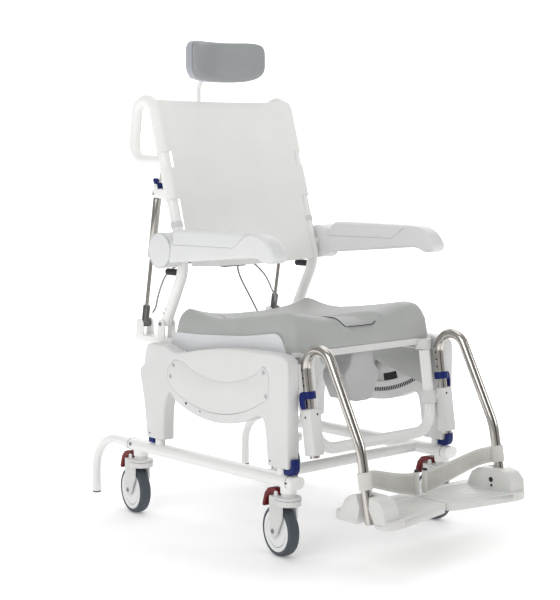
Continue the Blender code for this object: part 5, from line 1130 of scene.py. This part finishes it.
backX = backSet["x"]
frameShapes = []
for side in (-1.0, 1.0):
    x = side * backX
    top = backSet["handleTop"]
    low = backSet["handleLow"]
    waist = (x, backY(0.800), 0.800)
    kneeRun = bentLine([(x, *backSet["recline"]), (x, *backSet["knee"]), waist], backSet["kneeBend"],
                       steps=12)
    handleCorners = [waist, (x, backY(top), top), (x, 0.3900, top - 0.008), (x, 0.4110, low + 0.002),
                     (x, backY(low), low)]
    handle = bentLine(handleCorners, backSet["handleBend"], steps=14)
    frameShapes.append(addTube(kneeRun[:-1] + handle, backSet["radius"], powderCoat, ring=14))
    frameShapes.append(crossRod(x, x + side * 0.0212, backSet["armPin"], 0.0110, powderCoat,
                                rounding=0.0006))
    outside = Vector((side * 0.74, 0.67, 0.0))
    for boltY, boltZ in backSet["bolts"]:
        bolt = Vector((x, boltY, boltZ))
        frameShapes.append(addRod(bolt + outside * 0.0135, bolt + outside * 0.0170, 0.0036, boltZinc,
                                  rounding=0.0006))
    springY, springZ = backSet["springTop"]
    ear = [(backY(springZ) + 0.004, springZ - 0.014), (springY + 0.006, springZ - 0.009),
           (springY + 0.010, springZ), (springY + 0.006, springZ + 0.011),
           (backY(springZ) + 0.006, springZ + 0.013)]
    for earX in (x - 0.0145, x + 0.0115):
        frameShapes.append(addPlate(ear, "YZ", earX, earX + 0.003, powderCoat, rounding=0.0008, segments=2))
    frameShapes.append(crossRod(x - 0.0155, x + 0.0155, backSet["springTop"], 0.0030, boltZinc,
                                rounding=0.0004))
for level, depth in (backSet["lowCross"], backSet["highCross"]):
    bow = [(-backX, backY(level), level), (-backX + 0.060, backY(level) + depth, level),
           (backX - 0.060, backY(level) + depth, level), (backX, backY(level), level)]
    frameShapes.append(addTube(bentLine(bow, 0.04, steps=8), 0.010, powderCoat))
bracketY = backY(backSet["highCross"][0]) + backSet["highCross"][1]
frameShapes.append(addBlock((-0.009, bracketY, 0.976), (0.009, backSet["postY"], 0.994), powderCoat,
                            rounding=0.0012))
sleeve = addRod((0.0, backSet["postY"], 0.955), (0.0, backSet["postY"], 1.015), 0.0110, powderCoat,
                rounding=0.001)
cutAway(sleeve, addRod((0.0, backSet["postY"], 0.90), (0.0, backSet["postY"], 1.10), 0.0064))
frameShapes.append(sleeve)
leverY, leverZ = backSet["lever"]
lug = [(leverY - 0.009, 0.859), (leverY + 0.009, 0.859), (leverY + 0.005, leverZ + 0.003),
       (leverY, leverZ + 0.005), (leverY - 0.005, leverZ + 0.003)]
for lugX in (-backX - 0.0142, -backX + 0.0118):
    frameShapes.append(addPlate(lug, "YZ", lugX, lugX + 0.0024, powderCoat, rounding=0.0006, segments=2))
frameShapes.append(crossRod(-backX - 0.0145, -backX + 0.0145, backSet["lever"], 0.0022, boltZinc,
                            rounding=0.0004))
frameShapes.append(addRod((-backX, 0.296, 0.880), (-backX, 0.287, 0.935), 0.0032, springSteel,
                          rounding=0.0005))
carry(joinAll(frameShapes), "backFrame", "backrest", ["back_frame"], angle=40.0)
leverShape = [(-0.006, -0.006), (0.004, -0.008), (0.011, -0.002), (0.020, 0.013), (0.018, 0.0185),
              (0.012, 0.0185), (0.004, 0.010), (-0.005, 0.006)]
leverLine = flatLine([(leverY + y, leverZ + z) for y, z in leverShape], steps=4)
lever = addPlate(leverLine, "YZ", -backX - 0.0075, -backX + 0.0075, blueNylon, rounding=0.0030, angle=60.0)
carry(lever, pieceName("recline_lever"), "recline_lever", ["recline_lever"], angle=40.0)
copyNode("release_unit", blackRubber, rounding=0.0010, angle=40.0)
for sideName, side in sides:
    low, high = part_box("stop_buffer_" + sideName)
    bufferX = (low[0] + high[0]) / 2.0
    bufferZ = (low[2] + high[2]) / 2.0
    ends = [addRod((bufferX, high[1] - 0.004, bufferZ), (bufferX, high[1] + 0.0006, bufferZ), 0.0074,
                   boltZinc, rounding=0.0008)]
    # painted shade in the bolt's hexagon socket
    ends.append(addRod((bufferX, high[1], bufferZ), (bufferX, high[1] + 0.0008, bufferZ), 0.0030, darkGap,
                       vertices=6))
    copyNode("stop_buffer_" + sideName, blackRubber, rounding=0.0006, angle=40.0, extras=ends)
    copyNode("spring_cylinder_" + sideName, springSteel, rounding=0.0008, angle=40.0)
    rod = copyNode("spring_rod_" + sideName, springSteel, rounding=0.0006, angle=40.0)
    rod.data.materials.append(darkSteel)
    springFoot = Vector((side * backX, *backSet["springLow"]))
    for polygon in rod.data.polygons:
        polygon.material_index = 1 if (polygon.center - springFoot).length < 0.050 else 0
print("back frame finished")

# sling: coated cloth stretched between the back tubes, sewn round them in two sleeves a side
slingSet = {
    "low": 0.664, "high": 1.090, "front": 0.0170, "sag": 0.034, "thick": 0.0016, "rows": 80, "columns": 64,
    "sleeves": ((0.835, 0.915), (0.955, 1.200)), "hem": 0.214, "turn": (12.0, 200.0, 12), "over": 7,
    "flat": (0.570, 0.450),
}


def slingPoint(x, spot, normal):
    share = max(-1.0, min(1.0, x / backX))
    sag = slingSet["sag"] * (1.0 - share ** 2) * min(1.0, 0.12 + 3.0 * max(0.0, slingSet["high"] - spot.z))
    low = max(0.0, 1.0 - (spot.z - slingSet["low"]) / 0.12)
    pucker = 0.0010 * low * math.sin(x * 190.0) * share ** 2
    return Vector((x, spot.y, spot.z)) + normal * (slingSet["front"] - sag + pucker)


def slingTurn(side, angle, spot, normal):
    reach = math.radians(angle)
    out = Vector((side * (backX + slingSet["front"] * math.sin(reach)), spot.y, spot.z))
    return out + normal * slingSet["front"] * math.cos(reach)


# the cloth follows the back tubes up and over the start of their bend
top = backSet["handleTop"]
tubeCorners = [(0.0, backY(slingSet["low"]), slingSet["low"]), (0.0, backY(top), top),
               (0.0, 0.4050, top - 0.011)]
tubeRun = bentLine(tubeCorners, 0.036, steps=20)
slingRun = [tubeRun[0].lerp(tubeRun[1], row / slingSet["rows"]) for row in range(slingSet["rows"])]
slingRun += tubeRun[1:2 + slingSet["over"]]
firstTurn, lastTurn, turnSteps = slingSet["turn"]
turns = [firstTurn + (lastTurn - firstTurn) * step / turnSteps for step in range(turnSteps + 1)]
shape = bmesh.new()
sheetRows = []
for index, spot in enumerate(slingRun):
    along = (slingRun[min(index + 1, len(slingRun) - 1)] - slingRun[max(index - 1, 0)]).normalized()
    normal = Vector((0.0, -along.z, along.y))
    row = [(-1.0, shape.verts.new(slingTurn(-1.0, angle, spot, normal))) for angle in reversed(turns)]
    for column in range(slingSet["columns"] + 1):
        x = backX * (2.0 * column / slingSet["columns"] - 1.0)
        row.append((x, shape.verts.new(slingPoint(x, spot, normal))))
    row += [(1.0, shape.verts.new(slingTurn(1.0, angle, spot, normal))) for angle in turns]
    sheetRows.append(row)
for below, above, lowSpot, highSpot in zip(sheetRows, sheetRows[1:], slingRun, slingRun[1:]):
    middleLevel = (lowSpot.z + highSpot.z) / 2.0
    sleeved = any(low < middleLevel < high for low, high in slingSet["sleeves"])
    for column in range(len(below) - 1):
        wide = max(abs(below[column][0]), abs(below[column + 1][0]))
        if sleeved or wide <= slingSet["hem"]:
            shape.faces.new((below[column][1], below[column + 1][1], above[column + 1][1], above[column][1]))
bmesh.ops.delete(shape, geom=[vertex for vertex in shape.verts if not vertex.link_faces], context="VERTS")
clothArea = sum(face.calc_area() for face in shape.faces)
sling = newMesh("sling", [], [], [])
shape.to_mesh(sling.data)
shape.free()
wall = sling.modifiers.new("wall", "SOLIDIFY")
wall.thickness = slingSet["thick"]
wall.offset = 0.0
useModifiers(sling)
outward(sling)
carry(paint(sling, slingWeave), "backSling", "backrest", ["back_sling"], angle=50.0)
clipBands = []
for side in (-1.0, 1.0):
    low, high = [Vector((side * backX, backY(level), level)) for level in backSet["clips"]]
    clipBands.append(addRod(low, high, backSet["radius"] + 0.0012, clipNylon, rounding=0.0008, vertices=40))
carry(joinAll(clipBands), "slingClips", "backrest")
print("sling finished, cloth", round(clothArea, 4), "square metres")

# arms: moulded beam with a drooping grip, a round hub and a skinned foam pad
armSet = {
    "inner": 0.2495, "outer": 0.2995, "hub": backSet["armPin"], "hubRadius": 0.045, "rim": 0.0105,
    "through": (0.20, 0.35),
    "line": [(-0.004, -0.0320), (-0.060, -0.0275), (-0.150, -0.0190), (-0.270, -0.0080), (-0.330, -0.0020),
             (-0.370, 0.0000), (-0.392, -0.0070), (-0.412, -0.0100), (-0.426, -0.0070), (-0.4335, 0.0020),
             (-0.432, 0.0150), (-0.416, 0.0360), (-0.394, 0.0500), (-0.370, 0.0560), (-0.340, 0.0570),
             (-0.200, 0.0570), (-0.085, 0.0565), (-0.062, 0.0530), (-0.052, 0.0430), (-0.049, 0.0250),
             (-0.004, 0.0200)],
    "padCut": [(-0.020, 0.0170), (-0.288, 0.0215), (-0.361, 0.0720), (-0.020, 0.0720)],
    "beamCut": [(-0.020, 0.0164), (-0.2882, 0.0209), (-0.3628, 0.0720), (-0.020, 0.0720)],
    "slit": [(-0.0465, 0.0180), (-0.0485, 0.0170), (-0.0400, -0.0260), (-0.0360, -0.0285)],
    "seam": [(-0.2890, 0.0218), (-0.2902, 0.0216), (-0.3290, 0.0478), (-0.3278, 0.0480)],
}


def armLine(key):
    return [(armSet["hub"][0] + y, armSet["hub"][1] + z) for y, z in armSet[key]]


def armForm(finish):
    # the whole arm with its pad as one rounded bar, which the pad's cut then parts
    bar = flatLine(armLine("line"), steps=4, sharp=(0, 20))
    return addPlate(bar, "YZ", armSet["inner"] + 0.001, armSet["outer"] - 0.0008, finish,
                    rounding=armSet["rim"], segments=6, angle=55.0)


for sideName, side in sides:
    flip = mirror[side]
    inner = armSet["inner"]
    outer = armSet["outer"]
    hub = armSet["hub"]
    radius = armSet["hubRadius"]
    shapes = [cutAway(armForm(mouldedArm), addPlate(armLine("beamCut"), "YZ", *armSet["through"]))]
    shapes.append(crossRod(inner, outer, hub, radius, mouldedArm, rounding=0.004, vertices=72))
    # painted shade: a grey ring for the groove round the hub, a dark plate in the gap of the pad's diagonal
    # seam, and a grey plate in the slit
    shapes.append(crossRod(outer - 0.0040, outer - 0.0003, hub, radius + 0.0005, ringGrey, vertices=72))
    shapes.append(addPlate(armLine("seam"), "YZ", inner + 0.0014, outer - 0.0009, darkGap))
    shapes.append(addPlate(armLine("slit"), "YZ", outer - 0.006, outer - 0.0004, ringGrey))
    arm = moveMesh(joinAll(shapes), flip)
    carry(arm, "armrest" + sideName.capitalize(), "armrest_" + sideName,
          ["armrest_" + sideName], angle=40.0)
    pad = cutAway(armForm(armSkin), addPlate(armLine("padCut"), "YZ", *armSet["through"]), "INTERSECT")
    cutAway(pad, crossRod(*armSet["through"], hub, radius + 0.0012, vertices=72))
    carry(moveMesh(paint(pad, armSkin), flip), "armrestPad" + sideName.capitalize(), "armrest_" + sideName,
          ["armrest_pad_" + sideName], angle=40.0)
print("arms finished")

# headrest: hollowed foam pad with a side band, on a bent post with its clamp lever
headSet = {
    "half": 0.127, "height": 0.106, "bend": 0.030, "z": 1.197, "front": 0.278, "cells": 36, "power": 6.0,
    "lowPower": 3.4, "wing": 0.005, "bandDepth": 0.0100,
    "post": [(0.925, 0.0), (1.135, 0.0), (1.178, -0.033), (1.190, -0.082)],
    "profile": [(0.0130, 0.0002), (0.0080, 0.0014), (0.0040, 0.0038), (0.0016, 0.0070), (0.0012, 0.0090),
                (0.0040, 0.0096), (0.0040, 0.0108), (0.0006, 0.0116), (0.0000, 0.0150), (0.0000, 0.0300),
                (0.0015, 0.0370), (0.0050, 0.0425), (0.0110, 0.0460), (0.0200, 0.0478)],
}
postY = backSet["postY"]
postLine = bentLine([(0.0, postY + shift, level) for level, shift in headSet["post"]], 0.020)
post = [addTube(postLine, 0.006, powderCoat)]
post.append(addRod((0.0, 0.400, 1.168), (0.0, 0.372, 1.184), 0.0110, powderCoat, rounding=0.0015))
post.append(addRod((0.0, 0.398, 1.170), (0.0, 0.458, 1.160), 0.0060, powderCoat, rounding=0.002))
carry(joinAll(post), "headrestPost", "headrest", ["headrest_post"], angle=40.0)


def headPoint(u, v, inset, depth):
    # u and v run over a square, which is drawn in to a rounded oblong and hollowed across
    power = headSet["power"] if v > 0.0 else headSet["lowPower"]
    reach = max(abs(u), abs(v), 0.0001)
    draw = reach / (abs(u) ** power + abs(v) ** power + 1e-12) ** (1.0 / power)
    across = u * draw
    bend = headSet["bend"] * (1.0 - across ** 2)
    return (across * (headSet["half"] - inset), headSet["front"] + depth + bend,
            headSet["z"] + v * draw * (headSet["height"] / 2.0 - inset)
            + headSet["wing"] * across ** 2 * max(0.0, v))


# front and back faces are grids; the rim between them goes through the profile's steps
cells = headSet["cells"]
ticks = [2.0 * step / cells - 1.0 for step in range(cells + 1)]
rim = [(tick, -1.0) for tick in ticks[:-1]] + [(1.0, tick) for tick in ticks[:-1]]
rim += [(tick, 1.0) for tick in reversed(ticks[1:])] + [(-1.0, tick) for tick in reversed(ticks[1:])]
profile = headSet["profile"]
points = []
faces = []


def headGrid(level, turned):
    # one face of the pad as a grid of cells; the back one is wound the other way
    start = len(points)
    points.extend(headPoint(u, v, *level) for v in ticks for u in ticks)
    for row in range(cells):
        for column in range(cells):
            first = start + row * (cells + 1) + column
            near = first + 1
            far = first + cells + 1
            faces.append((first, far, far + 1, near) if turned else (first, near, far + 1, far))


headGrid(profile[0], False)
start = len(points)
for inset, depth in profile:
    points += [headPoint(u, v, inset, depth) for u, v in rim]
for level in range(len(profile) - 1):
    for step in range(len(rim)):
        first = start + level * len(rim)
        follow = (step + 1) % len(rim)
        faces.append((first + step, first + follow, first + len(rim) + follow, first + len(rim) + step))
headGrid(profile[-1], True)
headPad = newMesh("head", points, [], faces)
outward(headPad, merge=0.00002)
headPad.data.materials.append(headSkin)
headPad.data.materials.append(headBand)
for polygon in headPad.data.polygons:
    centre = polygon.center
    bend = headSet["bend"] * (1.0 - min(1.0, abs(centre.x) / headSet["half"]) ** 2)
    polygon.material_index = 1 if centre.y - headSet["front"] - bend > headSet["bandDepth"] else 0
carry(headPad, "headrestPad", "headrest", ["headrest_pad"], angle=60.0)
print("headrest finished")
